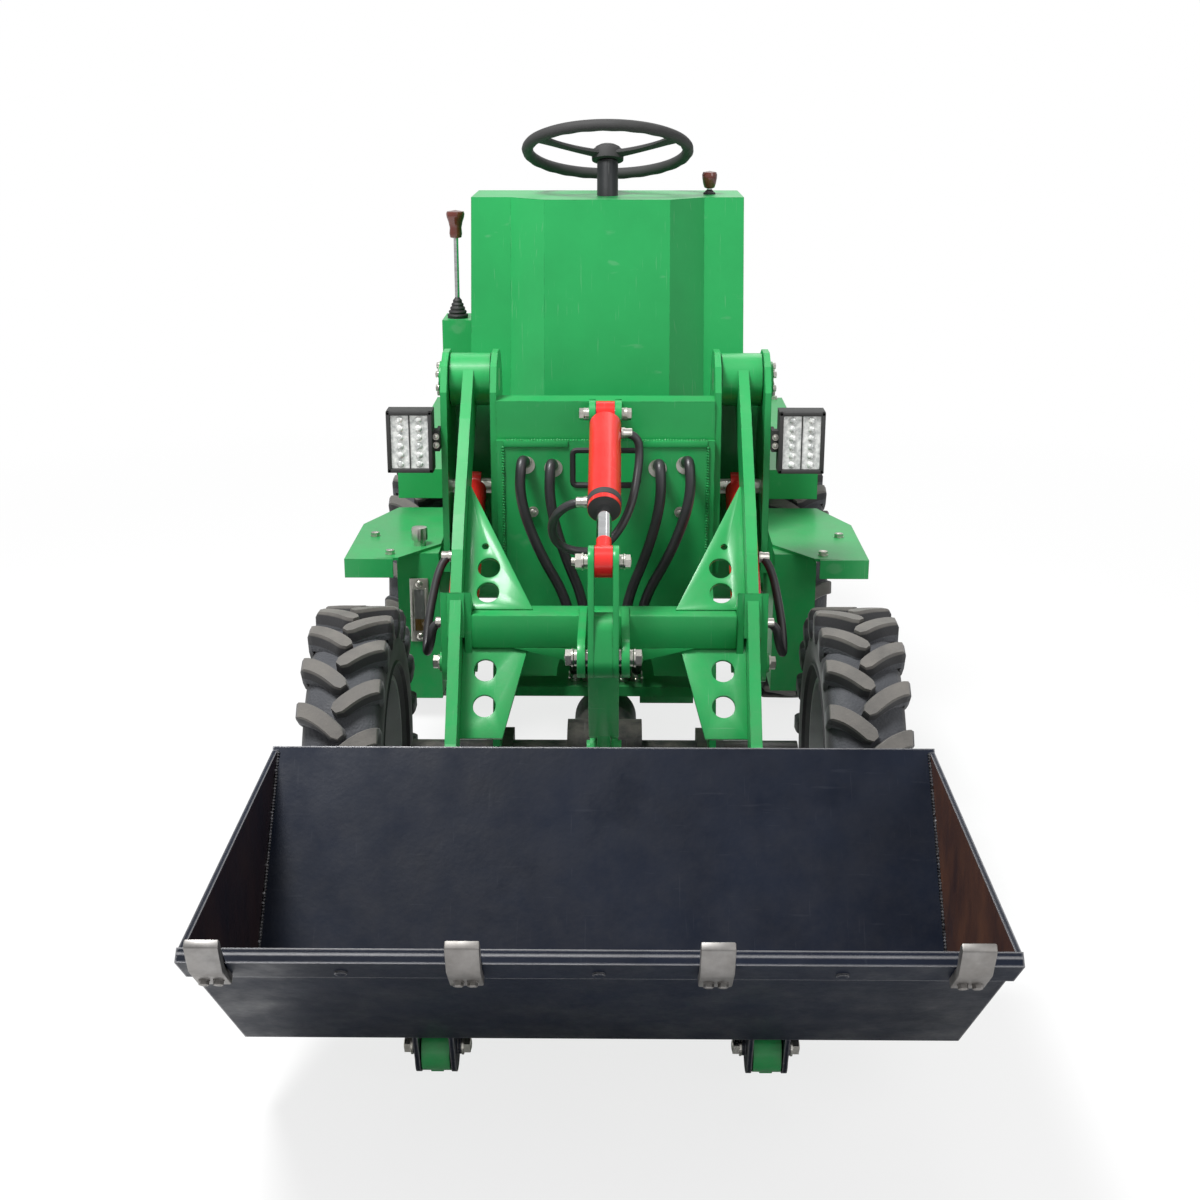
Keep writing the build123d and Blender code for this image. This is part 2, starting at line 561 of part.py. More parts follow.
# Hood over the batteries, hinged at its rear edge, carrying the seat
HOOD_Z = 850.0
HOOD_HALF = 320.0
HOOD_WALL = 6.0
hood = block(-HOOD_HALF, HOOD_HALF, HOOD_Y0, HOOD_Y1, DECK_Z, HOOD_Z)
inner = HOOD_HALF - HOOD_WALL
hood -= block(-inner, inner, HOOD_Y0 + HOOD_WALL, HOOD_Y1 - HOOD_WALL, DECK_Z - 1, HOOD_Z - HOOD_WALL)
save(hood, "hood")
SEAT_Z = HOOD_Z + 75.0
CUSHION_Z = SEAT_Z + 105.0
save(block(-180, 180, HOOD_Y1 - 510, HOOD_Y1 - 150, HOOD_Z, SEAT_Z), "seat_base")
cushion = block(-230, 230, HOOD_Y1 - 550, HOOD_Y1 - 120, SEAT_Z, CUSHION_Z)
backrest = block(-220, 220, HOOD_Y1 - 190, HOOD_Y1 - 100, CUSHION_Z + 0.3, CUSHION_Z + 205)
save(Compound(children=[cushion, backrest]), "seat")
leaves = []
for x in (-240, 240):
    leaf = rod_x(x - 25, x + 25, *HOOD_HINGE, 9) + block(x - 25, x + 25, HOOD_Y1, HOOD_HINGE[0], HOOD_HINGE[1], HOOD_HINGE[1] + 9)
    leaves.append(leaf - rod_x(x - 30, x + 30, *HOOD_HINGE, HINGE_PIN_R + PIN_GAP))
save(Compound(children=leaves), "hood_hinges")

# Counterweight with its tow-pin bore
WEIGHT_HALF = DECK_HALF - 80.0
weight = block(-WEIGHT_HALF, WEIGHT_HALF, BODY_Y1, REAR_END, RAIL_Z1, DECK_Z - WALL)
weight -= block(-60, 60, DECK_Y1, REAR_END + 1, 500, 560)
TOW_BORE_R = 14.0
weight -= rod_z(0, REAR_END - TOW_PIN_GAP, RAIL_Z1 - 1, DECK_Z, TOW_BORE_R)
save(weight, "counterweight")
lamp_r = block(DECK_HALF - 50, DECK_HALF - 10, DECK_Y1 - 22, DECK_Y1, 632, DECK_Z - WALL)
save(both(lamp_r), "rear_lamps")

# Floor with the foot wings, left and right of the swinging front frame
WING_OUT = 540.0
wing = [(TANK_IN, 140), (430, 32), (WING_OUT, 20), (WING_OUT, 300), (DECK_HALF, BODY_Y0), (TANK_IN, BODY_Y0)]
wing = flat_plate(wing, FLOOR_Z - 6, FLOOR_Z)
wing += block(WING_OUT - 100, WING_OUT, 20, 26, 560, FLOOR_Z)
save(wing, "foot_wing_right")
save(mirror_x(wing), "foot_wing_left")

# Hydraulic tank (left in the photo) and side box (right)
save(block(-TANK_OUT, -TANK_IN, 85, 330, 270, 594), "hydraulic_tank")
fittings = [
    rod_z(-(TANK_IN + TANK_OUT) / 2, 130, 600, 640, 17),
    block(-TANK_IN - 63, -TANK_IN - 23, 81, 85, 400, 540),
]
save(Compound(children=fittings), "tank_fittings")
save(block(TANK_IN, TANK_OUT, 85, 330, 290, 594), "side_box")

# Console shell
bottom = [(-290, 170), (-205, 170), (-130, 95), (130, 95), (205, 170), (290, 170), (290, 440), (-290, 440)]
top = [(-282, 260), (-200, 260), (-128, 190), (128, 190), (200, 260), (282, 260), (282, 470), (-282, 470)]


def ring(points, z, inset):
    wire = make_face(Polyline([(x, y, z) for x, y in points], close=True))
    return offset(wire, -inset).faces()[0] if inset else wire


TOP_Z = 1310.0
console = loft([ring(bottom, FLOOR_Z, 0), ring(top, TOP_Z, 0)], ruled=True)
console -= loft([ring(bottom, FLOOR_Z - 1, 5), ring(top, TOP_Z - 5, 5)], ruled=True)
save(console, "console")
save(block(-352, -286, 290, 400, 960, 1052), "control_box")
levers = [
    rod_z(-322, 330, 1052, 1240, 5) + rod_z(-322, 330, 1052, 1075, 22) + Pos(-322, 330, 1250) * Sphere(20),
    rod_z(215, 350, TOP_Z, 1330, 5) + Pos(215, 350, 1340) * Sphere(18),
]
save(Compound(children=levers), "levers")

# Steering column and wheel
WHEEL_CENTRE = (0.0, 339.0, 1400.0)
WHEEL_TILT = 19.5
column_low = 1290.0
axis_y = sin(radians(WHEEL_TILT))
axis_z = cos(radians(WHEEL_TILT))
frame = Pos(*WHEEL_CENTRE) * Rot(-WHEEL_TILT, 0, 0)
column = frame * Pos(0, 0, -70) * Cylinder(22, 90)
column -= block(-60, 60, 200, 400, 1200, TOP_Z)
column += frame * Pos(0, 0, -14) * Cylinder(10, 30)
save(column, "steering_column")
steering = frame * Torus(168, 12) + frame * Pos(0, 0, -8) * Cylinder(34, 30)
steering -= frame * Pos(0, 0, -12) * Cylinder(10 + PIN_GAP, 28)
for k in range(3):
    spoke = Pos(100, 0, -3) * Box(136, 26, 6)
    steering += frame * Rot(0, 0, 90 + 120 * k) * spoke
save(steering, "steering_wheel")
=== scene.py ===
"""Visual model of a small electric loader with a centre pivot, dressed around its construction frame."""
import json
from math import atan2, cos, pi, radians, sin

import bmesh
import bpy
from mathutils import Matrix, Vector

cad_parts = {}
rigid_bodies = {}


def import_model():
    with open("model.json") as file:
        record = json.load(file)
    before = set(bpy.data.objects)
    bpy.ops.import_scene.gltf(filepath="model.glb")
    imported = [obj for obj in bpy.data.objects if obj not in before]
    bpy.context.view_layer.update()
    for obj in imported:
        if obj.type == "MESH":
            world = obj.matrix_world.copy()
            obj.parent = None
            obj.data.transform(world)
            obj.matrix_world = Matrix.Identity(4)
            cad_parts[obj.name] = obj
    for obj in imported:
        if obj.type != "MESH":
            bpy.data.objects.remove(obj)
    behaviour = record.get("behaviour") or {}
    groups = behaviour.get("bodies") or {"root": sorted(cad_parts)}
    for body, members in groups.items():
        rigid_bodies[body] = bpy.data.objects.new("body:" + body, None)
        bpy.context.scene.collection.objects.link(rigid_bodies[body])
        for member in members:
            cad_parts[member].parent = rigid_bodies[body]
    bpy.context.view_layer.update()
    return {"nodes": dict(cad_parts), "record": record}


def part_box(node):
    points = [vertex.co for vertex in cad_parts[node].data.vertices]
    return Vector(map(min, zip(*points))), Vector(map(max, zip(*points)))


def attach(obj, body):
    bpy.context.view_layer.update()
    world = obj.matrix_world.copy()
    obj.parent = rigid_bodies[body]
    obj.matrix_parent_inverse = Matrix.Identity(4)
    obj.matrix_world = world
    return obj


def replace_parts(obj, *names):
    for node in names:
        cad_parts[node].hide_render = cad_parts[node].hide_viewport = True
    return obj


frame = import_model()

bl_info = {
    "name": "Mini Loader Dresser",
    "version": (1, 0, 0),
    "blender": (4, 5, 0),
    "location": "3D View > Sidebar > Loader",
    "description": "Dresses the loader's frame with its fittings, hoses, cushions and finishes",
    "category": "Object",
}

# Places shared with the construction source, in metres
SIDES = (-1, 1)
WHEEL_SIDES = [(f"{end}_{side}", end, sign) for end in ("front", "rear")
               for side, sign in (("left", -1), ("right", 1))]
AXLE_Y = {"front": -0.340, "rear": 0.860}
AXLE_Z = 0.300
WHEEL_X = 0.465
TYRE_R = 0.300
ARM_X = 0.260
ARM_PIVOT = (-0.100, 0.995)
TILT_BASE = (-0.240, 0.955)
CRANK_PIVOT = (-0.643, 0.621)
CRANK_TOP = (-0.631, 0.785)
CRANK_FOOT = (-0.518, 0.404)
BUCKET_PIN = (-0.968, 0.084)
LINK_PIN = (-0.945, 0.176)
LIFT_EYE = (-0.470, 0.551)
LIP = Vector((0.0, -1.363, 0.466))
HEEL = Vector((0.0, -1.032, 0.135))
TOP_BACK = Vector((0.0, -0.704, 0.481))
BUCKET_INSIDE = 0.542
SHEET = 0.008
TOOTH_X = (-0.507, -0.174, 0.153, 0.484)
FACE_Y = -0.210
HOSE_HOLES = [(-0.150, 0.852), (-0.098, 0.846), (0.098, 0.846), (0.150, 0.852)]
LEFT, RIGHT, FRONT, UP = (-1, 0, 0), (1, 0, 0), (0, -1, 0), (0, 0, 1)
STEERING_CENTRE = Vector((0.0, 0.339, 1.400))
STEERING_TILT = radians(19.5)
DECK_Z = 0.690
CONSOLE_TOP = 1.310


def square_to(way):
    """The direction square to way in the YZ plane, on its upper side."""
    side = Vector((0, -way.z, way.y))
    return side if side.z > 0 else -side


FLOOR_WAY = (LIP - HEEL).normalized()
FLOOR_UP = square_to(FLOOR_WAY)
BACK_WAY = (TOP_BACK - HEEL).normalized()
BACK_UP = square_to(BACK_WAY)


# Settings


def length_setting(name, description, default, low):
    return bpy.props.FloatProperty(
        name=name, description=description, default=default, min=low, unit="LENGTH")


def colour_setting(name, description, default):
    return bpy.props.FloatVectorProperty(
        name=name, description=description, subtype="COLOR", size=3, default=default, min=0, max=1)


class LoaderSizes(bpy.types.PropertyGroup):
    bolt_width: length_setting("Bolt width", "Width of a common bolt head", 0.017, 0.004)
    wheel_nut_width: length_setting("Wheel nut width", "Width of a wheel nut", 0.021, 0.004)
    weld_radius: length_setting("Weld radius", "Half width of a weld bead", 0.0042, 0.001)
    weld_pitch: length_setting("Weld pitch", "Distance between the ripples of a weld bead", 0.0052, 0.001)
    pressure_hose: length_setting("Pressure hose", "Outer diameter of the front plate's hoses", 0.020, 0.004)
    cylinder_hose: length_setting("Cylinder hose", "Outer diameter of the cylinders' hoses", 0.016, 0.004)
    led_radius: length_setting("Lamp cell", "Radius of one lamp cell", 0.0098, 0.002)
    cushion_voxel: length_setting("Cushion voxel", "Remesh size of the cushions", 0.006, 0.003)


class LoaderColours(bpy.types.PropertyGroup):
    paint: colour_setting("Paint", "Body paint", (0.018, 0.318, 0.083))
    cylinder: colour_setting("Cylinder paint", "Paint of the cylinders", (0.66, 0.022, 0.018))
    bucket: colour_setting("Bucket paint", "Dark paint of the bucket", (0.0035, 0.0060, 0.0135))
    rubber: colour_setting("Rubber", "Tyres and hoses", (0.016, 0.016, 0.018))
    vinyl: colour_setting("Seat cover", "Vinyl of the seat", (0.014, 0.014, 0.015))
    knob: colour_setting("Knobs", "Moulded knobs", (0.105, 0.018, 0.010))


# Node helpers


class Graph:
    """Adds and joins nodes in one tree."""

    def __init__(self, tree):
        self.tree = tree

    def add(self, kind, inputs=None, **settings):
        node = self.tree.nodes.new(kind)
        for key, value in settings.items():
            setattr(node, key, value)
        for key, value in (inputs or {}).items():
            socket = node.inputs[key]
            if isinstance(value, bpy.types.NodeSocket):
                self.tree.links.new(value, socket)
            else:
                socket.default_value = value
        return node

    def link(self, output, socket):
        self.tree.links.new(output, socket)

    def math(self, operation, a, b=0.0, clamp=False):
        return self.add("ShaderNodeMath", {0: a, 1: b}, operation=operation, use_clamp=clamp).outputs[0]

    def times(self, a, b, clamp=False):
        return self.math("MULTIPLY", a, b, clamp)

    def plus(self, a, b, clamp=False):
        return self.math("ADD", a, b, clamp)

    def minus(self, a, b):
        return self.math("SUBTRACT", a, b)

    def place(self):
        return self.add("ShaderNodeTexCoord").outputs["Object"]

    def normal(self):
        return self.add("ShaderNodeNewGeometry").outputs["Normal"]

    def vector(self, operation, a, b=(0.0, 0.0, 0.0)):
        return self.add("ShaderNodeVectorMath", {0: a, 1: b}, operation=operation).outputs

    def split(self, vector):
        return self.add("ShaderNodeSeparateXYZ", {0: vector}).outputs

    def noise(self, vector, scale, detail=2.0, roughness=0.5):
        return self.add("ShaderNodeTexNoise", {"Vector": vector, "Scale": scale, "Detail": detail,
                                               "Roughness": roughness}).outputs["Fac"]

    def from_axle(self, centre):
        """Distance from the line along X through centre, a (y, z) pair."""
        place = self.split(self.place())
        dy = self.minus(place["Y"], centre[0])
        dz = self.minus(place["Z"], centre[1])
        return self.math("SQRT", self.plus(self.times(dy, dy), self.times(dz, dz)))

    def remap(self, value, low, high, to_low=0.0, to_high=1.0):
        node = self.add("ShaderNodeMapRange", {"Value": value, "From Min": low, "From Max": high,
                                               "To Min": to_low, "To Max": to_high})
        return node.outputs["Result"]

    def mix(self, factor, a, b):
        node = self.add("ShaderNodeMix", data_type="RGBA")
        for index, value in ((0, factor), (6, a), (7, b)):
            if isinstance(value, bpy.types.NodeSocket):
                self.tree.links.new(value, node.inputs[index])
            elif index == 0:
                node.inputs[index].default_value = value
            else:
                node.inputs[index].default_value = (*value[:3], 1.0)
        return node.outputs[2]


SOCKETS = {"value": "NodeSocketFloat", "colour": "NodeSocketColor", "vector": "NodeSocketVector",
           "geometry": "NodeSocketGeometry", "material": "NodeSocketMaterial", "whole": "NodeSocketInt"}


def new_group(name, kind, inputs, outputs):
    tree = bpy.data.node_groups.new(name, kind)
    for label, form, default in inputs:
        socket = tree.interface.new_socket(label, in_out="INPUT", socket_type=SOCKETS[form])
        if default is not None:
            socket.default_value = default
    for label, form in outputs:
        tree.interface.new_socket(label, in_out="OUTPUT", socket_type=SOCKETS[form])
    graph = Graph(tree)
    return tree, graph, graph.add("NodeGroupInput").outputs, graph.add("NodeGroupOutput").inputs


def mottle_group():
    """Soft patches at a chosen scale, stretched along one axis if wished."""
    tree, g, given, out = new_group(
        "Mottle", "ShaderNodeTree",
        [("Scale", "value", 8.0), ("Stretch", "vector", (1.0, 1.0, 1.0)), ("Contrast", "value", 0.5)],
        [("Mask", "value")])
    stretched = g.vector("MULTIPLY", g.place(), given["Stretch"])[0]
    broad = g.noise(stretched, given["Scale"], 5.0, 0.62)
    low = g.times(given["Contrast"], 0.5)
    g.link(g.remap(broad, low, g.minus(1.0, low)), out["Mask"])
    return tree


def wear_group():
    """Bare edges: where the surface turns within a small radius, broken up by noise."""
    tree, g, given, out = new_group(
        "Worn edges", "ShaderNodeTree",
        [("Radius", "value", 0.003), ("Amount", "value", 0.5)], [("Mask", "value")])
    soft = g.add("ShaderNodeBevel", {"Radius": given["Radius"]}, samples=4).outputs["Normal"]
    same = g.vector("DOT_PRODUCT", g.normal(), soft)["Value"]
    turn = g.remap(g.minus(1.0, same), 0.02, 0.16)
    patches = g.noise(g.place(), 34.0, 6.0, 0.7)
    limit = g.times(g.minus(1.0, given["Amount"]), 0.8)
    broken = g.remap(patches, limit, g.plus(limit, 0.12))
    g.link(g.times(turn, broken, clamp=True), out["Mask"])
    return tree


def dust_group():
    """Dust that thickens towards the ground and lies on faces that look up."""
    tree, g, given, out = new_group(
        "Settled dust", "ShaderNodeTree",
        [("Height", "value", 0.6), ("Amount", "value", 0.4)], [("Mask", "value")])
    place = g.place()
    up = g.split(g.normal())["Z"]
    low = g.remap(g.split(place)["Z"], given["Height"], 0.0)
    cloud = g.remap(g.noise(place, 17.0, 7.0, 0.72), 0.38, 0.68)
    lying = g.plus(g.times(low, 0.75), g.times(g.remap(up, 0.3, 1.0), 0.35))
    amount = g.times(g.times(lying, cloud), given["Amount"], clamp=True)
    g.link(amount, out["Mask"])
    return tree


def scratch_group():
    """Fine straight scratches in two directions."""
    tree, g, given, out = new_group(
        "Scratches", "ShaderNodeTree",
        [("Scale", "value", 30.0), ("Amount", "value", 0.3)], [("Mask", "value")])
    place = g.place()
    found = []
    for turn, squeeze in (((0.4, 0.2, 0.6), (9.0, 0.5, 0.5)), ((1.1, -0.5, 0.3), (0.5, 8.0, 0.6))):
        turned = g.add("ShaderNodeMapping", {"Vector": place, "Rotation": turn, "Scale": squeeze}).outputs[0]
        found.append(g.remap(g.noise(turned, given["Scale"], 3.0), 0.67, 0.73))
    both = g.math("MAXIMUM", found[0], found[1])
    g.link(g.times(both, given["Amount"], clamp=True), out["Mask"])
    return tree


def grain_group():
    """Height of a fine moulded or cast grain."""
    tree, g, given, out = new_group(
        "Fine grain", "ShaderNodeTree",
        [("Scale", "value", 400.0), ("Coarse", "value", 0.3)], [("Height", "value")])
    place = g.place()
    fine = g.noise(place, given["Scale"])
    wide = g.noise(place, g.times(given["Scale"], 0.12))
    g.link(g.plus(fine, g.times(wide, given["Coarse"])), out["Height"])
    return tree


class Finish:
    """One material under construction, with the shared effects at hand."""

    def __init__(self, name, **constants):
        self.material = bpy.data.materials.new(name)
        self.material.use_nodes = True
        tree = self.material.node_tree
        self.shader = tree.nodes["Principled BSDF"]
        self.graph = Graph(tree)
        for key, value in constants.items():
            self.shader.inputs[key.replace("_", " ")].default_value = value

    def effect(self, group, output="Mask", **values):
        node = self.graph.add("ShaderNodeGroup", node_tree=bpy.data.node_groups[group])
        for key, value in values.items():
            node.inputs[key].default_value = value
        return node.outputs[output]

    def colour(self, base, *layers):
        found = base
        for mask, tint in layers:
            found = self.graph.mix(mask, found, tint)
        self.graph.link(found, self.shader.inputs["Base Color"])

    def rough(self, mask, low, high):
        self.graph.link(self.graph.remap(mask, 0.0, 1.0, low, high), self.shader.inputs["Roughness"])

    def metal(self, mask):
        self.graph.link(mask, self.shader.inputs["Metallic"])

    def bump(self, height, distance, strength=1.0):
        node = self.graph.add(
            "ShaderNodeBump", {"Height": height, "Distance": distance, "Strength": strength})
        self.graph.link(node.outputs["Normal"], self.shader.inputs["Normal"])


def shade(colour, factor):
    return tuple(min(1.0, channel * factor) for channel in colour)


def paint_finish(name, colour, dust=0.35, wear=0.42, gloss=0.28):
    f = Finish(name, Coat_Weight=0.12, Coat_Roughness=0.15, Specular_IOR_Level=0.3)
    broad = f.effect("Mottle", Scale=3.2, Contrast=0.5)
    worn = f.effect("Worn edges", Radius=0.0035, Amount=wear)
    dusty = f.effect("Settled dust", Height=0.75, Amount=dust)
    marks = f.effect("Scratches", Scale=26.0, Amount=0.16)
    base = f.graph.mix(broad, shade(colour, 0.86), shade(colour, 1.12))
    pale = tuple(0.55 * channel + 0.25 for channel in colour)
    f.colour(base, (marks, pale), (worn, shade(colour, 0.42)), (dusty, (0.20, 0.185, 0.155)))
    f.rough(f.graph.plus(f.graph.times(broad, 0.4), dusty, clamp=True), gloss, gloss + 0.35)
    f.bump(f.effect("Fine grain", "Height", Scale=160.0, Coarse=1.2), 0.00035, 0.35)
    return f.material


def bucket_finish(colour):
    f = Finish("dark_bucket_steel", Specular_IOR_Level=0.12)
    g = f.graph
    broad = f.effect("Mottle", Scale=2.6, Contrast=0.45)
    blotch = f.effect("Mottle", Scale=11.0, Stretch=(1.0, 1.0, 0.6), Contrast=0.62)
    marks = f.effect("Scratches", Scale=23.0, Amount=0.12)
    worn = f.effect("Worn edges", Radius=0.005, Amount=0.8)
    dusty = f.effect("Settled dust", Height=0.5, Amount=0.14)
    place = g.split(g.place())
    facing = g.split(g.normal())["X"]
    # Rust on both inner walls, plus painted sunlight: the right inner wall gets a much stronger, lighter
    # brown than the shaded left one.
    inner_right = g.times(g.remap(facing, -0.5, -0.9), g.remap(place["X"], 0.50, 0.53), clamp=True)
    inner_left = g.times(g.remap(facing, 0.5, 0.9), g.remap(place["X"], -0.50, -0.53), clamp=True)
    rust_and_sunlight = g.plus(g.times(inner_right, 0.85), g.times(inner_left, 0.22))
    rust_and_sunlight = g.times(rust_and_sunlight, g.plus(g.times(blotch, 0.7), 0.35), clamp=True)
    base = g.mix(broad, shade(colour, 0.65), shade(colour, 1.6))
    f.colour(base, (g.times(blotch, 0.2), shade(colour, 2.2)), (rust_and_sunlight, (0.115, 0.050, 0.030)),
             (marks, (0.05, 0.055, 0.07)), (worn, (0.26, 0.26, 0.27)), (dusty, (0.10, 0.09, 0.08)))
    f.metal(g.times(worn, 0.7))
    f.rough(blotch, 0.34, 0.6)
    f.bump(f.effect("Fine grain", "Height", Scale=120.0, Coarse=2.0), 0.0005, 0.4)
    return f.material


def bare_metal(name, colour, low, high, stretch=(1.0, 1.0, 1.0), dust=0.2, tint=None):
    f = Finish(name, Metallic=1.0)
    grain = f.effect("Mottle", Scale=42.0, Stretch=stretch, Contrast=0.7)
    broad = f.effect("Mottle", Scale=9.0, Contrast=0.55)
    dusty = f.effect("Settled dust", Height=0.9, Amount=dust)
    base = f.graph.mix(grain, shade(colour, 0.82), shade(colour, 1.1))
    f.colour(base, (f.graph.times(broad, 0.3), tint or shade(colour, 0.7)), (dusty, (0.22, 0.20, 0.17)))
    f.rough(broad, low, high)
    f.bump(grain, 0.0002, 0.25)
    return f.material


def rod_finish(name, eye, colour):
    """Polished rod whose eye is painted: the paint ends a little way from the eye's pin."""
    f = Finish(name)
    g = f.graph
    painted = g.remap(g.from_axle(eye), 0.0555, 0.0545)
    grain = f.effect("Mottle", Scale=42.0, Stretch=(0.3, 0.3, 3.0), Contrast=0.7)
    worn = f.effect("Worn edges", Radius=0.003, Amount=0.45)
    bright = g.mix(grain, (0.70, 0.71, 0.72), (0.86, 0.87, 0.88))
    f.colour(bright, (painted, colour), (g.times(worn, painted), shade(colour, 0.35)))
    f.metal(g.minus(1.0, painted))
    f.rough(painted, 0.08, 0.24)
    f.bump(grain, 0.0001, 0.2)
    return f.material


def tyre_finish(end, colour):
    """Rubber whose bars' tops are scuffed grey: they lie further from the axle than the grooves. The groove
    floors carry a painted blue-grey highlight.
    """
    f = Finish(f"tyre_rubber_{end}", Sheen_Weight=0.15)
    g = f.graph
    out = g.from_axle((AXLE_Y[end], AXLE_Z))
    top = g.remap(out, 0.2925, 0.2950)
    tread = g.times(g.remap(out, 0.250, 0.262), g.remap(out, 0.2755, 0.2735))
    patches = f.effect("Mottle", Scale=22.0, Contrast=0.55)
    dusty = g.times(top, g.plus(g.times(patches, 0.5), 0.5))
    weave = g.add("ShaderNodeTexVoronoi", {"Vector": g.place(), "Scale": 210.0})
    # The groove floors between the bars get a painted blue-grey highlight.
    f.colour(g.mix(patches, shade(colour, 0.8), shade(colour, 1.5)),
             (g.times(tread, 0.7), (0.066, 0.070, 0.080)), (dusty, (0.155, 0.145, 0.132)))
    f.rough(patches, 0.62, 0.88)
    fine = f.effect("Fine grain", "Height", Scale=260.0, Coarse=0.5)
    cells = g.times(g.times(weave.outputs["Distance"], tread), 1.6)
    f.bump(g.plus(fine, cells), 0.0009, 0.6)
    return f.material


def plastic_finish(name, colour, low, high, scale=420.0, depth=0.0003, coat=0.0):
    f = Finish(name, Coat_Weight=coat, Coat_Roughness=0.08)
    broad = f.effect("Mottle", Scale=12.0, Contrast=0.5)
    dusty = f.effect("Settled dust", Height=0.5, Amount=0.2)
    f.colour(f.graph.mix(broad, shade(colour, 0.85), shade(colour, 1.2)), (dusty, (0.14, 0.13, 0.11)))
    f.rough(broad, low, high)
    f.bump(f.effect("Fine grain", "Height", Scale=scale, Coarse=0.4), depth, 0.5)
    return f.material


def hose_finish(colour):
    """Wrapped rubber cover: a fine cloth print runs round the hose in Object space."""
    f = Finish("hose_rubber", Coat_Weight=0.12, Coat_Roughness=0.25)
    g = f.graph
    place = g.place()
    wrap = g.add("ShaderNodeTexWave", {"Vector": place, "Scale": 130.0, "Distortion": 1.2, "Detail": 1.0},
                 bands_direction="DIAGONAL").outputs["Fac"]
    broad = f.effect("Mottle", Scale=14.0, Contrast=0.5)
    f.colour(g.mix(broad, shade(colour, 0.7), shade(colour, 1.6)),
             (f.effect("Settled dust", Height=0.8, Amount=0.2), (0.11, 0.10, 0.09)))
    f.rough(broad, 0.34, 0.52)
    f.bump(wrap, 0.0003, 0.35)
    return f.material


def vinyl_finish(colour):
    f = Finish("seat_vinyl", Sheen_Weight=0.1, Coat_Weight=0.1, Coat_Roughness=0.35)
    g = f.graph
    place = g.place()
    pores = g.add("ShaderNodeTexVoronoi", {"Vector": place, "Scale": 330.0}, feature="DISTANCE_TO_EDGE")
    creases = g.noise(place, 26.0, 4.0)
    broad = f.effect("Mottle", Scale=9.0, Contrast=0.5)
    f.colour(g.mix(broad, shade(colour, 0.8), shade(colour, 1.6)))
    f.rough(broad, 0.42, 0.6)
    f.bump(g.plus(g.remap(pores.outputs["Distance"], 0.0, 0.12), g.times(creases, 1.4)), 0.0006, 0.5)
    return f.material


def lamp_finish():
    """Clear moulded lamp cell whose colour is patched at random between grey and near-white, as painted
    reflections.
    """
    f = Finish("lamp_cell", Metallic=0.25, Roughness=0.12, Coat_Weight=1.0, Coat_Roughness=0.03)
    g = f.graph
    painted_reflections = f.effect("Mottle", Scale=90.0, Contrast=0.7)
    # The grey to near-white patches are painted reflections of the cup.
    f.colour(g.mix(painted_reflections, (0.42, 0.44, 0.43), (0.92, 0.93, 0.90)))
    return f.material


def lens_finish():
    f = Finish("tail_lens", Coat_Weight=1.0, Coat_Roughness=0.04, Subsurface_Weight=0.1)
    g = f.graph
    ribs = g.add("ShaderNodeTexWave", {"Vector": g.place(), "Scale": 60.0},
                 bands_direction="Z").outputs["Fac"]
    f.colour(g.mix(ribs, (0.32, 0.006, 0.006), (0.62, 0.020, 0.016)))
    f.rough(ribs, 0.12, 0.22)
    f.bump(ribs, 0.0006, 0.6)
    return f.material


def window_finish():
    f = Finish("gauge_window", Roughness=0.06, Coat_Weight=1.0, Coat_Roughness=0.02)
    g = f.graph
    oil = g.remap(g.split(g.place())["Z"], 0.452, 0.449)
    f.colour(g.mix(oil, (0.10, 0.105, 0.10), (0.085, 0.048, 0.012)))
    return f.material


# Mesh helpers

# The record's slot and the material of each look that a fitting can have
LOOKS = {
    "green": ("green_paint", "loader_green"),
    "zinc": ("zinc_steel", "zinc_plate"),
    "chrome": ("zinc_steel", "hard_chrome"),
    "plastic": ("black_plastic", "black_plastic"),
    "rubber": ("black_plastic", "black_rubber"),
    "window": ("black_plastic", "gauge_window"),
    "knob": ("red_plastic", "knob_plastic"),
    "gland": ("red_paint", "black_plastic"),
    "lamp": ("lamp_plastic", "lamp_cell"),
    "tooth": ("worn_steel", "tooth_steel"),
    "bucket": ("black_steel", "dark_bucket_steel"),
    "weld": ("black_steel", "weld_metal"),
    "rim": ("rim_paint", "rim_grey"),
    "tyre_front": ("tyre_rubber", "tyre_rubber_front"),
    "tyre_rear": ("tyre_rubber", "tyre_rubber_rear"),
}


def collection():
    return bpy.context.scene.collection.objects


def settle(name, meshes, body, look, painted=False):
    """One smooth piece made of the meshes, on its body. A painted mesh keeps the material that it has."""
    slot, material = LOOKS[look]
    mesh = join(name, meshes) if isinstance(meshes, list) else meshes
    piece = bpy.data.objects.new(name, mesh)
    collection().link(piece)
    if not painted:
        mesh.materials.clear()
        mesh.materials.append(bpy.data.materials[material])
    for face in mesh.polygons:
        face.use_smooth = True
    sharpen(mesh)
    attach(piece, body)
    return piece


def sharpen(mesh, limit=radians(38)):
    shape = bmesh.new()
    shape.from_mesh(mesh)
    for edge in shape.edges:
        edge.smooth = len(edge.link_faces) == 2 and edge.calc_face_angle(0.0) < limit
    shape.to_mesh(mesh)
    shape.free()


def to_mesh(shape, name):
    mesh = bpy.data.meshes.new(name)
    shape.to_mesh(mesh)
    shape.free()
    return mesh


def join(name, meshes):
    shape = bmesh.new()
    for mesh in meshes:
        shape.from_mesh(mesh)
        bpy.data.meshes.remove(mesh)
    return to_mesh(shape, name)


def outward(shape):
    bmesh.ops.remove_doubles(shape, verts=shape.verts, dist=1e-6)
    bmesh.ops.recalc_face_normals(shape, faces=shape.faces)


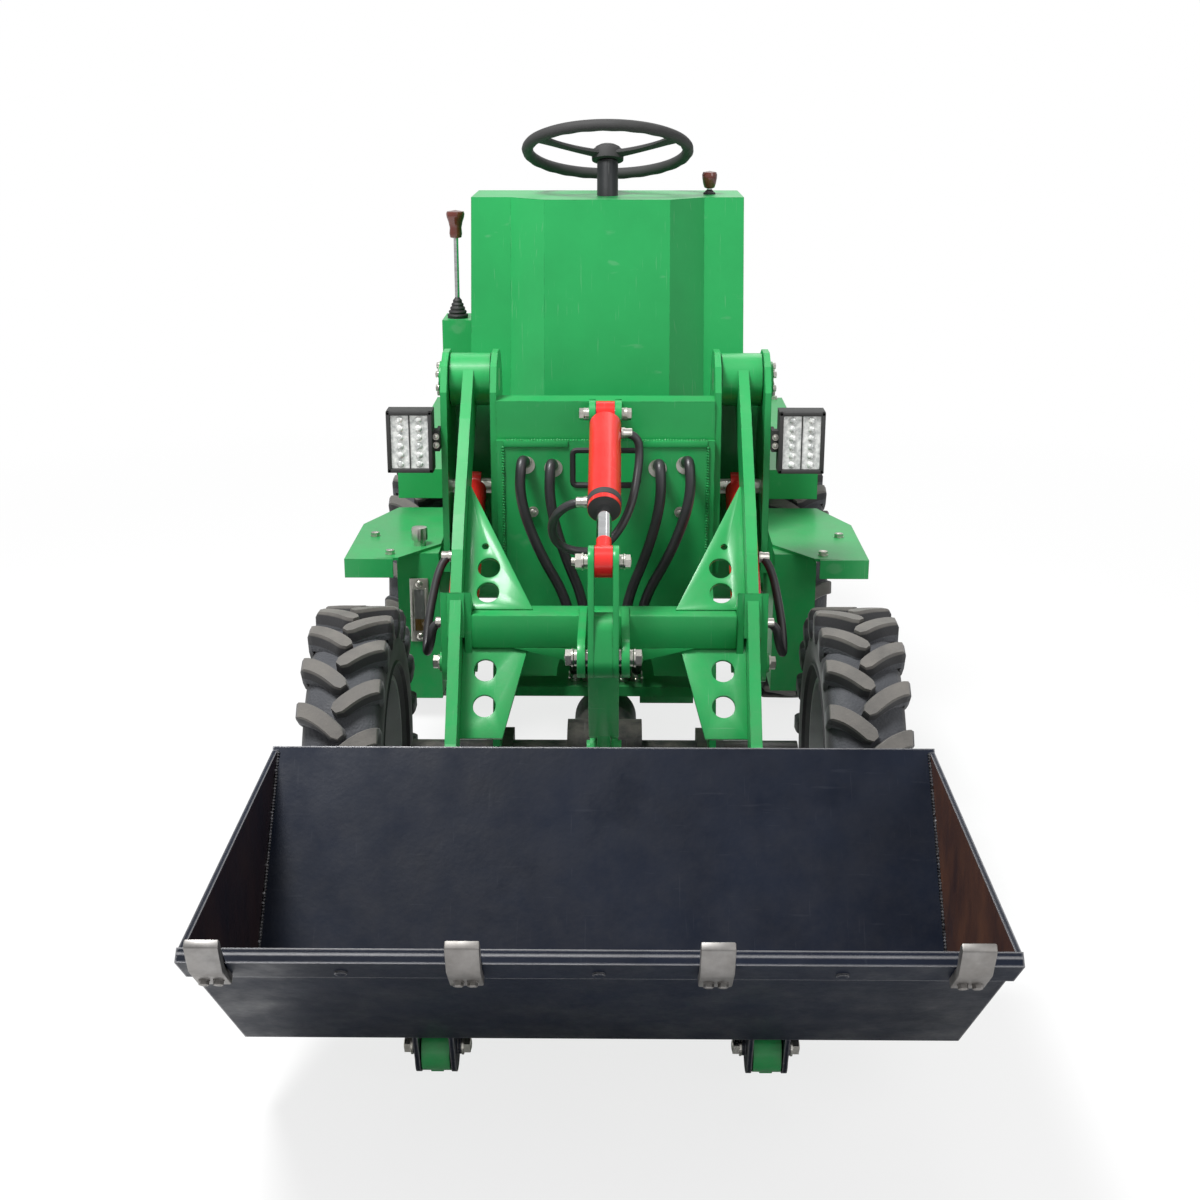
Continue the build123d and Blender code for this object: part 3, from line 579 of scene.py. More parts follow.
def skin(shape, rings, closed=False):
    """Faces between rings of one count. Closed joins the last to the first, else both ends get a face."""
    for low, high in zip(rings, rings[1:] + (rings[:1] if closed else [])):
        for k in range(len(low)):
            n = (k + 1) % len(low)
            shape.faces.new([low[k], low[n], high[n], high[k]])
    if not closed:
        shape.faces.new(rings[0])
        shape.faces.new(rings[-1])


def turned(profile, steps=28, place=Matrix.Identity(4), ripple=None):
    """A closed turning of (radius, height) pairs along Z, where ripple(angle, height) scales the radius."""
    shape = bmesh.new()
    rings = []
    for radius, height in profile:
        if radius < 1e-6:
            rings.append([shape.verts.new((0, 0, height))])
            continue
        ring = []
        for k in range(steps):
            angle = 2 * pi * k / steps
            r = radius * (ripple(angle, height) if ripple else 1.0)
            ring.append(shape.verts.new((r * cos(angle), r * sin(angle), height)))
        rings.append(ring)
    for low, high in zip(rings, rings[1:]):
        for k in range(steps):
            ends = (low[k % len(low)], low[(k + 1) % len(low)])
            corners = list(dict.fromkeys((*ends, high[(k + 1) % len(high)], high[k % len(high)])))
            if len(corners) > 2:
                shape.faces.new(corners)
    for ring in (rings[0], rings[-1]):
        if len(ring) > 1:
            shape.faces.new(ring)
    outward(shape)
    shape.transform(place)
    return to_mesh(shape, "turned")


def slab(corner_a, corner_b, bevel=0.0, place=Matrix.Identity(4), segments=2, profile=0.5):
    """A block between two corners, given in any order."""
    low = Vector(map(min, zip(corner_a, corner_b)))
    high = Vector(map(max, zip(corner_a, corner_b)))
    shape = bmesh.new()
    bmesh.ops.create_cube(shape, size=1.0)
    for vert in shape.verts:
        vert.co = Vector(low[i] + (vert.co[i] + 0.5) * (high[i] - low[i]) for i in range(3))
    if bevel:
        bmesh.ops.bevel(
            shape, geom=shape.edges[:], offset=bevel, segments=segments, profile=profile, affect="EDGES")
    outward(shape)
    shape.transform(place)
    return to_mesh(shape, "slab")


def arc(centre, radius, start, end, steps):
    """Points of an arc in the YZ plane, angles in degrees."""
    turns = [radians(start + (end - start) * i / steps) for i in range(steps + 1)]
    return [(centre[0] + radius * cos(a), centre[1] + radius * sin(a)) for a in turns]


def circle(centre, radius, steps=28):
    return arc(centre, radius, 0, 360 - 360 / steps, steps - 1)


def hull(*rounds):
    """The outline round several circles, each a (centre, radius) pair."""
    points = sorted({point for centre, radius in rounds for point in circle(centre, radius, 40)})
    halves = []
    for run in (points, points[::-1]):
        half = []
        for point in run:
            while len(half) > 1 and ((half[-1][0] - half[-2][0]) * (point[1] - half[-2][1])
                                     - (half[-1][1] - half[-2][1]) * (point[0] - half[-2][0])) <= 0:
                half.pop()
            half.append(point)
        halves += half[:-1]
    return halves


def plate(loops, start, depth, bevel=0.0, place=None):
    """Plate with holes: outlines in YZ, extruded along X from start, unless place says otherwise."""
    shape = bmesh.new()
    for loop in loops:
        verts = [shape.verts.new((a, b, 0.0)) for a, b in loop]
        for one, other in zip(verts, verts[1:] + verts[:1]):
            shape.edges.new((one, other))
    bmesh.ops.triangle_fill(shape, use_beauty=True, use_dissolve=False, edges=shape.edges[:])
    bmesh.ops.dissolve_limit(shape, angle_limit=0.001, verts=shape.verts[:], edges=shape.edges[:])
    grown = bmesh.ops.extrude_face_region(shape, geom=shape.faces[:])["geom"]
    lifted = [part for part in grown if isinstance(part, bmesh.types.BMVert)]
    bmesh.ops.translate(shape, vec=(0, 0, depth), verts=lifted)
    outward(shape)
    if bevel:
        sharp = [e for e in shape.edges if len(e.link_faces) == 2 and e.calc_face_angle(0.0) > radians(60)]
        bmesh.ops.bevel(
            shape, geom=sharp, offset=bevel, segments=2, profile=0.5, affect="EDGES", clamp_overlap=True)
    if place is None:
        place = Matrix(((0, 0, 1, start), (1, 0, 0, 0), (0, 1, 0, 0), (0, 0, 0, 1)))
    shape.transform(place)
    bmesh.ops.triangulate(shape, faces=[f for f in shape.faces if len(f.verts) > 4])
    outward(shape)
    return to_mesh(shape, "plate")


def mirrored(mesh):
    shape = bmesh.new()
    shape.from_mesh(mesh)
    shape.transform(Matrix.Scale(-1, 4, (1, 0, 0)))
    bmesh.ops.reverse_faces(shape, faces=shape.faces)
    return to_mesh(shape, "mirrored")


def pin_x(start, end, centre, radius, steps=28, chamfer=0.001):
    profile = [(radius - chamfer, 0.0), (radius, chamfer), (radius, end - start - chamfer),
               (radius - chamfer, end - start)]
    return turned(profile, steps, Matrix.Translation((start, *centre)) @ Matrix.Rotation(radians(90), 4, "Y"))


def sweep(points, radius, closed=False, sides=12, flat=1.0):
    """A tube through the points, as a mesh."""
    shape = bmesh.new()
    points = [Vector(p) for p in points]
    count = len(points)
    rings = []
    side = None
    for i, point in enumerate(points):
        ahead = points[(i + 1) % count] if closed or i + 1 < count else point
        behind = points[i - 1] if closed or i else point
        way = (ahead - behind).normalized()
        if side is None:
            side = way.orthogonal().normalized()
        side = (side - way * side.dot(way)).normalized()
        rise = way.cross(side)
        rings.append([shape.verts.new(point + radius * (cos(a) * side + flat * sin(a) * rise))
                      for a in (2 * pi * k / sides for k in range(sides))])
    pairs = list(zip(rings, rings[1:])) + ([(rings[-1], rings[0])] if closed else [])
    for low, high in pairs:
        offset = 0
        if low is rings[-1]:
            offset = min(range(sides), key=lambda s: (low[0].co - high[s].co).length)
        for k in range(sides):
            n = (k + 1) % sides
            shape.faces.new([low[k], low[n], high[(n + offset) % sides], high[(k + offset) % sides]])
    if not closed:
        shape.faces.new(rings[0])
        shape.faces.new(rings[-1])
    outward(shape)
    return to_mesh(shape, "sweep")


def aim_matrix(place, way):
    return Matrix.Translation(Vector(place)) @ Vector(way).to_track_quat("Z", "Y").to_matrix().to_4x4()


# Geometry node trees


def spots_mesh(name, spots):
    """Loose points with the direction and the size of what stands on each."""
    mesh = bpy.data.meshes.new(name)
    mesh.from_pydata([spot[0] for spot in spots], [], [])
    mesh.attributes.new("aim", "FLOAT_VECTOR", "POINT")
    mesh.attributes.new("size", "FLOAT", "POINT")
    aims, sizes = mesh.attributes["aim"].data, mesh.attributes["size"].data
    for i, (_, way, width) in enumerate(spots):
        aims[i].vector = Vector(way).normalized()
        sizes[i].value = width
    return mesh


def line_mesh(name, lines):
    mesh = bpy.data.meshes.new(name)
    points = [point for line in lines for point in line]
    edges, start = [], 0
    for line in lines:
        edges += [(start + i, start + i + 1) for i in range(len(line) - 1)]
        start += len(line)
    mesh.from_pydata(points, edges, [])
    return mesh


def round_ring(centre, radius, count, start, way, width):
    """Spots on a circle in the YZ plane, the first at start degrees."""
    angles = [radians(start + 360 * k / count) for k in range(count)]
    x, y, z = centre
    return [((x, y + radius * cos(a), z + radius * sin(a)), way, width) for a in angles]


def named(g, name, form):
    return g.add("GeometryNodeInputNamedAttribute", {"Name": name}, data_type=form).outputs["Attribute"]


def stand_tree(name, parts):
    """A tree that stands a small made shape on each point, turned along its aim and scaled to its size."""
    tree, g, given, out = new_group(
        name, "GeometryNodeTree", [("Geometry", "geometry", None), ("Finish", "material", None)],
        [("Geometry", "geometry")])
    made = parts(g)
    joined = g.add("GeometryNodeJoinGeometry")
    for piece in made:
        tree.links.new(piece, joined.inputs[0])
    points = g.add("GeometryNodeMeshToPoints", {"Mesh": given["Geometry"]}).outputs[0]
    turn = g.add("FunctionNodeAlignRotationToVector", {"Vector": named(g, "aim", "FLOAT_VECTOR")}, axis="Z")
    stood = g.add("GeometryNodeInstanceOnPoints", {
        "Points": points, "Instance": joined.outputs[0], "Rotation": turn.outputs[0],
        "Scale": named(g, "size", "FLOAT")})
    real = g.add("GeometryNodeRealizeInstances", {"Geometry": stood.outputs[0]})
    dressed = g.add("GeometryNodeSetMaterial", {"Geometry": real.outputs[0], "Material": given["Finish"]})
    tree.links.new(dressed.outputs[0], out["Geometry"])
    return tree


def raised(g, mesh, height, scale):
    return g.add("GeometryNodeTransform", {
        "Geometry": mesh, "Translation": (0.0, 0.0, height), "Scale": scale}).outputs[0]


def drum(g, sides, radius, depth, height):
    made = g.add("GeometryNodeMeshCylinder", {"Vertices": sides, "Radius": radius, "Depth": depth})
    return raised(g, made.outputs["Mesh"], height, (1.0, 1.0, 1.0))


def dome(g, radius, flat, height):
    made = g.add("GeometryNodeMeshIcoSphere", {"Radius": radius, "Subdivisions": 2})
    return raised(g, made.outputs["Mesh"], height, (1.0, 1.0, flat))


def bolt_parts(g):
    return [drum(g, 20, 0.62, 0.12, 0.05), drum(g, 6, 0.56, 0.40, 0.30), dome(g, 0.40, 0.22, 0.50)]


def nut_parts(g):
    return [drum(g, 20, 0.62, 0.12, 0.05), drum(g, 6, 0.56, 0.46, 0.33), drum(g, 12, 0.30, 0.34, 0.66)]


def screw_parts(g):
    return [drum(g, 20, 0.5, 0.20, 0.08), dome(g, 0.48, 0.35, 0.17)]


def grommet_parts(g):
    return [drum(g, 28, 1.0, 0.16, 0.05), drum(g, 28, 0.80, 0.34, 0.12), drum(g, 28, 0.62, 0.42, 0.16)]


def cell_parts(g):
    return [drum(g, 12, 1.0, 0.25, 0.05), dome(g, 0.86, 0.55, 0.12)]


def bead_tree():
    """Ripples of weld metal along lines."""
    tree, g, given, out = new_group(
        "Weld bead", "GeometryNodeTree",
        [("Geometry", "geometry", None), ("Radius", "value", 0.004), ("Pitch", "value", 0.005),
         ("Seed", "whole", 3), ("Long", "value", 1.0), ("Finish", "material", None)],
        [("Geometry", "geometry")])
    curve = g.add("GeometryNodeMeshToCurve", {"Mesh": given["Geometry"]}).outputs[0]
    points = g.add(
        "GeometryNodeResampleCurve", {"Curve": curve, "Length": given["Pitch"]}, mode="LENGTH").outputs[0]
    ball = g.add("GeometryNodeMeshIcoSphere", {"Radius": 1.0, "Subdivisions": 1}).outputs["Mesh"]
    along = g.add("GeometryNodeInputTangent").outputs[0]
    turn = g.add("FunctionNodeAlignRotationToVector", {"Vector": along}, axis="X").outputs[0]
    chance = g.add("FunctionNodeRandomValue", {"Min": (0.75, 0.8, 0.8), "Max": (1.0, 1.15, 1.15),
                                               "Seed": given["Seed"]}, data_type="FLOAT_VECTOR").outputs[0]
    longer = g.add("ShaderNodeCombineXYZ", {"X": given["Long"], "Y": 1.0, "Z": 1.0}).outputs[0]
    varied = g.vector("MULTIPLY", chance, longer)[0]
    size = g.add("ShaderNodeVectorMath", {0: varied, "Scale": given["Radius"]}, operation="SCALE").outputs[0]
    stood = g.add("GeometryNodeInstanceOnPoints", {"Points": points, "Instance": ball, "Rotation": turn,
                                                   "Scale": size}).outputs[0]
    real = g.add("GeometryNodeRealizeInstances", {"Geometry": stood}).outputs[0]
    dressed = g.add("GeometryNodeSetMaterial", {"Geometry": real, "Material": given["Finish"]}).outputs[0]
    tree.links.new(dressed, out["Geometry"])
    return tree


def harvest(name, tree_name, host_mesh, body, look, **values):
    """Runs a tree over a host mesh and keeps the result as one plain mesh."""
    tree = bpy.data.node_groups[tree_name]
    host = bpy.data.objects.new(name + "_host", host_mesh)
    collection().link(host)
    grow = host.modifiers.new("grow", "NODES")
    grow.node_group = tree
    values["Finish"] = bpy.data.materials[LOOKS[look][1]]
    for item in tree.interface.items_tree:
        if item.item_type == "SOCKET" and item.in_out == "INPUT" and item.name in values:
            grow[item.identifier] = values[item.name]
    depsgraph = bpy.context.evaluated_depsgraph_get()
    mesh = bpy.data.meshes.new_from_object(host.evaluated_get(depsgraph), depsgraph=depsgraph)
    if not mesh.polygons:
        raise RuntimeError(f"{name}: the tree {tree_name} made no faces")
    bpy.data.objects.remove(host)
    return settle(name, mesh, body, look, painted=True)


def stand(name, tree_name, spots, body, look):
    """Stands the tree's shape on each spot."""
    return harvest(name, tree_name, spots_mesh(name, spots), body, look)


# Operators


class LoaderOperator:
    bl_options = {"REGISTER", "UNDO"}

    def sizes(self):
        return bpy.context.scene.loader_sizes

    def colours(self):
        return bpy.context.scene.loader_colours


class LOADER_OT_stage(LoaderOperator, bpy.types.Operator):
    """Floor, soft lights and the camera of the photograph"""
    bl_idname = "loader.stage"
    bl_label = "Set the stage"

    def execute(self, context):
        scene = context.scene
        scene.view_settings.view_transform = "Standard"
        world = bpy.data.worlds.new("pale_room")
        world.use_nodes = True
        scene.world = world
        g = Graph(world.node_tree)
        back = world.node_tree.nodes["Background"]
        back.inputs["Color"].default_value = (1.0, 1.0, 1.0, 1.0)
        seen = g.add("ShaderNodeLightPath").outputs
        bright = g.math("MAXIMUM", seen["Is Camera Ray"], g.times(seen["Is Glossy Ray"], 0.35))
        g.link(g.remap(bright, 0.0, 1.0, 0.42, 1.0), back.inputs["Strength"])

        self.floor()
        for name, place, size, power in (
            ("key_light", (-1.5, -1.5, 5.0), 1.2, 300.0),
            ("fill_light", (3.0, -3.4, 3.0), 2.6, 50.0),
            ("back_light", (0.8, 3.4, 4.0), 3.0, 60.0),
        ):
            lamp = bpy.data.lights.new(name, "AREA")
            lamp.size, lamp.energy = size, power
            light = bpy.data.objects.new(name, lamp)
            light.location = place
            way = Vector((0.0, -0.2, 0.6)) - Vector(place)
            light.rotation_euler = way.to_track_quat("-Z", "Y").to_euler()
            collection().link(light)
        lens = bpy.data.cameras.new("photo_camera")
        lens.lens, lens.sensor_width = 50.4, 36.0
        camera = bpy.data.objects.new("photo_camera", lens)
        camera.location = (0.022, -3.30, 1.56)
        camera.rotation_euler = (radians(72.5), 0.0, radians(0.6))
        collection().link(camera)
        scene.camera = camera
        return {"FINISHED"}

    def floor(self):
        """A pale disc that fades to white with the distance."""
        shape = bmesh.new()
        bmesh.ops.create_circle(shape, cap_ends=True, segments=64, radius=14.0)
        floor = bpy.data.objects.new("studio_floor", to_mesh(shape, "studio_floor"))
        collection().link(floor)
        f = Finish("studio_floor", Roughness=0.9)
        g = f.graph
        f.colour(g.mix(f.effect("Mottle", Scale=0.8, Contrast=0.3), (0.86, 0.86, 0.86), (0.89, 0.89, 0.89)))
        glow = g.add("ShaderNodeEmission", {"Color": (1.0, 1.0, 1.0, 1.0), "Strength": 1.0}).outputs[0]
        ray = g.add("ShaderNodeLightPath").outputs["Is Camera Ray"]
        far = g.vector("LENGTH", g.place())["Value"]
        part = g.times(ray, g.remap(far, 1.2, 4.5, 0.78, 1.0))
        mixed = g.add("ShaderNodeMixShader", {0: part, 1: f.shader.outputs[0], 2: glow}).outputs[0]
        g.link(mixed, g.tree.nodes["Material Output"].inputs["Surface"])
        floor.data.materials.append(f.material)
        return floor


class LOADER_OT_finishes(LoaderOperator, bpy.types.Operator):
    """Builds the shared effects and gives every frame node its finish"""
    bl_idname = "loader.finishes"
    bl_label = "Paint and finish the frame"

    def execute(self, context):
        for build in (mottle_group, wear_group, dust_group, scratch_group, grain_group):
            build()
        tints = self.colours()
        red, rubber = tuple(tints.cylinder), tuple(tints.rubber)
        paint_finish("loader_green", tuple(tints.paint))
        paint_finish("cylinder_red", red, dust=0.2, wear=0.3, gloss=0.16)
        bucket_finish(tuple(tints.bucket))
        paint_finish("chassis_black", (0.016, 0.017, 0.019), dust=0.6, wear=0.5, gloss=0.4)
        paint_finish("rim_grey", (0.34, 0.35, 0.36), dust=0.5, wear=0.3, gloss=0.3)
        bare_metal("tooth_steel", (0.25, 0.245, 0.24), 0.38, 0.62, dust=0.5, tint=(0.17, 0.14, 0.12))
        bare_metal("hard_chrome", (0.80, 0.81, 0.82), 0.06, 0.14, (0.3, 0.3, 3.0), dust=0.0)
        rod_finish("tilt_rod_steel", CRANK_TOP, red)
        rod_finish("lift_rod_steel", LIFT_EYE, red)
        bare_metal("zinc_plate", (0.62, 0.61, 0.57), 0.22, 0.42, dust=0.25, tint=(0.46, 0.41, 0.30))
        bare_metal("weld_metal", (0.10, 0.10, 0.11), 0.35, 0.55, dust=0.3)
        for end in ("front", "rear"):
            tyre_finish(end, rubber)
        plastic_finish("black_plastic", (0.013, 0.013, 0.014), 0.32, 0.5)
        plastic_finish("black_rubber", (0.014, 0.014, 0.015), 0.55, 0.72, 300.0, 0.0004)
        plastic_finish("knob_plastic", tuple(tints.knob), 0.14, 0.26, 200.0, 0.0001, coat=0.6)
        hose_finish(rubber)
        vinyl_finish(tuple(tints.vinyl))
        lamp_finish()
        lens_finish()
        window_finish()
        looks = {
            "green_paint": "loader_green", "black_steel": "chassis_black", "worn_steel": "tooth_steel",
            "red_paint": "cylinder_red", "chrome_rod": "hard_chrome", "zinc_steel": "zinc_plate",
            "rim_paint": "rim_grey", "black_plastic": "black_plastic", "red_plastic": "knob_plastic",
            "lamp_plastic": "tail_lens", "seat_vinyl": "seat_vinyl",
        }
        special = {"bucket_shell": "dark_bucket_steel", "cutting_edge": "dark_bucket_steel",
                   "tilt_rod": "tilt_rod_steel", "lift_rods": "lift_rod_steel", "tilt_piston": "zinc_plate",
                   "front_motor": "chassis_black"}
        slots = {row["node"]: row["material_slot"] for row in frame["record"]["subparts"]}
        for name, node in frame["nodes"].items():
            if name.startswith("tyre_"):
                look = "tyre_rubber_" + name.split("_")[1]
            else:
                look = special.get(name) or looks[slots[name]]
            node.data.materials.clear()
            node.data.materials.append(bpy.data.materials[look])
        return {"FINISHED"}


class LOADER_OT_fasteners(LoaderOperator, bpy.types.Operator):
    """Bolts, nuts and screws on every body"""
    bl_idname = "loader.fasteners"
    bl_label = "Fit the fasteners"

    def execute(self, context):
        stand_tree("Bolt heads", bolt_parts)
        stand_tree("Nuts", nut_parts)
        stand_tree("Round screws", screw_parts)
        common = self.sizes().bolt_width
        for body, spots in self.single_heads(common).items():
            spots += self.paired_heads(common).get(body, [])
            stand(f"bolt_heads_{body}", "Bolt heads", spots + self.ringed_heads().get(body, []), body, "zinc")
        stand("crank_pin_nut", "Nuts", [((-0.0335, *CRANK_TOP), LEFT, 0.024)], "bell_crank", "zinc")
        teeth = [self.under_lip(x + dx, 0.034, 0.026, 0.0125) for x in TOOTH_X for dx in (-0.0095, 0.0095)]
        stand("tooth_bolts", "Bolt heads", teeth, "bucket", "tooth")
        edge = [self.under_lip(x, 0.042, 0.0118, 0.017) for x in (-0.34, 0.0, 0.32)]
        stand("edge_screws", "Round screws", edge, "bucket", "bucket")
        for name, end, sign in WHEEL_SIDES:
            axle = (sign * (WHEEL_X + 0.0045), AXLE_Y[end], AXLE_Z)
            nuts = round_ring(axle, 0.112, 6, 30, (sign, 0, 0), self.sizes().wheel_nut_width)
            stand(f"wheel_nuts_{name}", "Nuts", nuts, f"wheel_{name}", "zinc")
        return {"FINISHED"}

    def single_heads(self, common):
        """Heads of the pins and of the face plate, by body."""
        pins = {"arms": ((ARM_X + 0.034, LIFT_EYE, 0.022), (0.051, CRANK_PIVOT, 0.026)),
                "bucket": ((ARM_X + 0.039, BUCKET_PIN, 0.026), (0.053, LINK_PIN, 0.024))}
        heads = {body: [((s * x, *centre), (s, 0, 0), width) for x, centre, width in rows for s in SIDES]
                 for body, rows in pins.items()}
        heads["bucket"] += [((s * (ARM_X - 0.039), *BUCKET_PIN), (-s, 0, 0), 0.026) for s in SIDES]
        heads["bell_crank"] = [((0.0335, *CRANK_TOP), RIGHT, 0.022)]
        heads["front_frame"] = [((x, FACE_Y, 0.761), FRONT, common) for x in (-0.1375, 0.141)]
        heads["front_frame"] += [((s * 0.038, *TILT_BASE), (s, 0, 0), 0.020) for s in SIDES]
        return {**heads, "rear_frame": [], "rear_hood": []}

    def paired_heads(self, common):
        """Heads with their like on the other side, by body: places, facing (None is outwards) and width."""
        rows = {
            "front_frame": (([(0.3165, -0.222, z) for z in (0.892, 0.908)], FRONT, 0.010),),
            "rear_frame": (
                ([(0.45, 0.06, 0.6), (0.50, 0.20, 0.6)], UP, common),
                ([(0.455, y, DECK_Z) for y in (0.47, 0.90, 1.32)], UP, common),
                ([(0.400, 1.362, z) for z in (0.47, 0.62)], None, 0.026),
                ([(0.44, y, 0.56) for y in (0.16, 0.26)], None, common),
                ([(0.2842, 0.380, 1.237), (0.2861, 0.380, 1.074), (0.2893, 0.380, 0.80)], None, 0.012),
            ),
            "rear_hood": (
                ([(0.18, y, 0.868) for y in (0.78, 1.06)], None, common),
                ([(0.24 + dx, 1.256, 0.709) for dx in (-0.014, 0.014)], UP, 0.010),
            ),
        }
        return {body: [((s * x, y, z), way or (s, 0, 0), width)
                       for places, way, width in sets for x, y, z in places for s in SIDES]
                for body, sets in rows.items()}

    def ringed_heads(self):
        """The six small heads round each arm pivot."""
        return {"front_frame": [head for s in SIDES for head in round_ring(
            (s * 0.3185, *ARM_PIVOT), 0.026, 6, 30, (s, 0, 0), 0.011)]}

    def under_lip(self, x, back, below, width):
        spot = LIP - FLOOR_WAY * back - FLOOR_UP * below + Vector((x, 0, 0))
        return tuple(spot), tuple(-FLOOR_UP), width


class LOADER_OT_welds(LoaderOperator, bpy.types.Operator):
    """Weld beads in the bucket and on the arms and front plate"""
    bl_idname = "loader.welds"
    bl_label = "Lay the welds"

    def execute(self, context):
        bead_tree()
        lift = SHEET + 0.001
        bucket, arms = [], []
        plate_edge = [[Vector((s * 0.1925, FACE_Y - 0.001, z)) for z in (0.66, 0.885)] for s in SIDES]
        plate_edge.append([Vector((s * 0.19, FACE_Y + 0.004, 0.8975)) for s in SIDES])
        for s in SIDES:
            side = Vector((s * (BUCKET_INSIDE - 0.0012), 0, 0))
            corner, wall = FLOOR_UP * lift + side, BACK_UP * lift + side
            bucket.append([LIP - FLOOR_WAY * 0.03 + corner, HEEL + FLOOR_WAY * 0.022 + corner])
            bucket.append([HEEL + BACK_WAY * 0.022 + wall, TOP_BACK - BACK_WAY * 0.012 + wall])
            arms.append([Vector((s * 0.2492, y, z)) for y, z in ((-0.468, 0.648), (-0.296, 0.818))])
        for name, lines, body, look, radius in (
            ("bucket_welds", bucket, "bucket", "weld", self.sizes().weld_radius),
            ("arm_welds", arms, "arms", "green", 0.0034),
            ("plate_welds", plate_edge, "front_frame", "green", 0.0036),
        ):
            harvest(name, "Weld bead", line_mesh(name, lines), body, look, Radius=radius,
                    Pitch=self.sizes().weld_pitch, Seed=3, Long=1.0)
        return {"FINISHED"}


class LOADER_OT_lamps(LoaderOperator, bpy.types.Operator):
    """Work lamps with their cells and frames, and the tail lamps"""
    bl_idname = "loader.lamps"
    bl_label = "Fit the lamps"

    lamp_x = (0.322, 0.407)
    tail_x = (0.430, 0.470)
    rim = 0.0075
    rows, fins = 6, 7

    def execute(self, context):
        stand_tree("Lamp cells", cell_parts)
        low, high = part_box("work_lamps")
        x0, x1 = self.lamp_x
        z0, z1 = low.z + self.rim, high.z - self.rim
        frames, cells, backing = [], [], []
        for s in SIDES:
            middle = s * (x0 + x1) / 2
            frames += self.frame(
                s, self.lamp_x, (low.z, high.z), self.rim, low.y - 0.006, low.y + 0.004, 0.0016)
            frames.append(slab((middle - 0.0012, low.y - 0.003, z0), (middle + 0.0012, low.y + 0.002, z1)))
            for k in range(self.fins):
                z = z0 + (z1 - z0) * (k + 0.5) / self.fins
                frames.append(slab((s * (x0 + 0.006), low.y + 0.038, z - 0.002),
                                   (s * (x1 - 0.006), low.y + 0.050, z + 0.002), 0.0008))
            for column in SIDES:
                for k in range(self.rows):
                    x = middle + column * (x1 - x0 - 2 * self.rim) / 4
                    z = z0 + (z1 - z0) * (k + 0.5) / self.rows
                    cells.append(((x, low.y - 0.0005, z), FRONT, self.sizes().led_radius * 0.82))
            backing.append(slab((s * (x0 + 0.008), low.y - 0.0012, low.z + 0.008),
                                (s * (x1 - 0.008), low.y, high.z - 0.008)))
        settle("work_lamp_frames", frames, "front_frame", "plastic")
        stand("work_lamp_cells", "Lamp cells", cells, "front_frame", "lamp")
        settle("work_lamp_mirrors", backing, "front_frame", "lamp")
        low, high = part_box("rear_lamps")
        bezels = [bar for s in SIDES for bar in self.frame(
            s, self.tail_x, (low.z, high.z), 0.004, high.y - 0.002, high.y + 0.004, 0.001)]
        settle("tail_lamp_bezels", bezels, "rear_frame", "plastic")
        return {"FINISHED"}

    def frame(self, side, xs, zs, rim, near, far, bevel):
        """The four bars round a lamp's face."""
        (x0, x1), (z0, z1) = xs, zs
        return [slab((side * a, near, b), (side * c, far, d), bevel) for a, b, c, d in (
            (x0, z0, x1, z0 + rim), (x0, z1 - rim, x1, z1), (x0, z0, x0 + rim, z1), (x1 - rim, z0, x1, z1))]


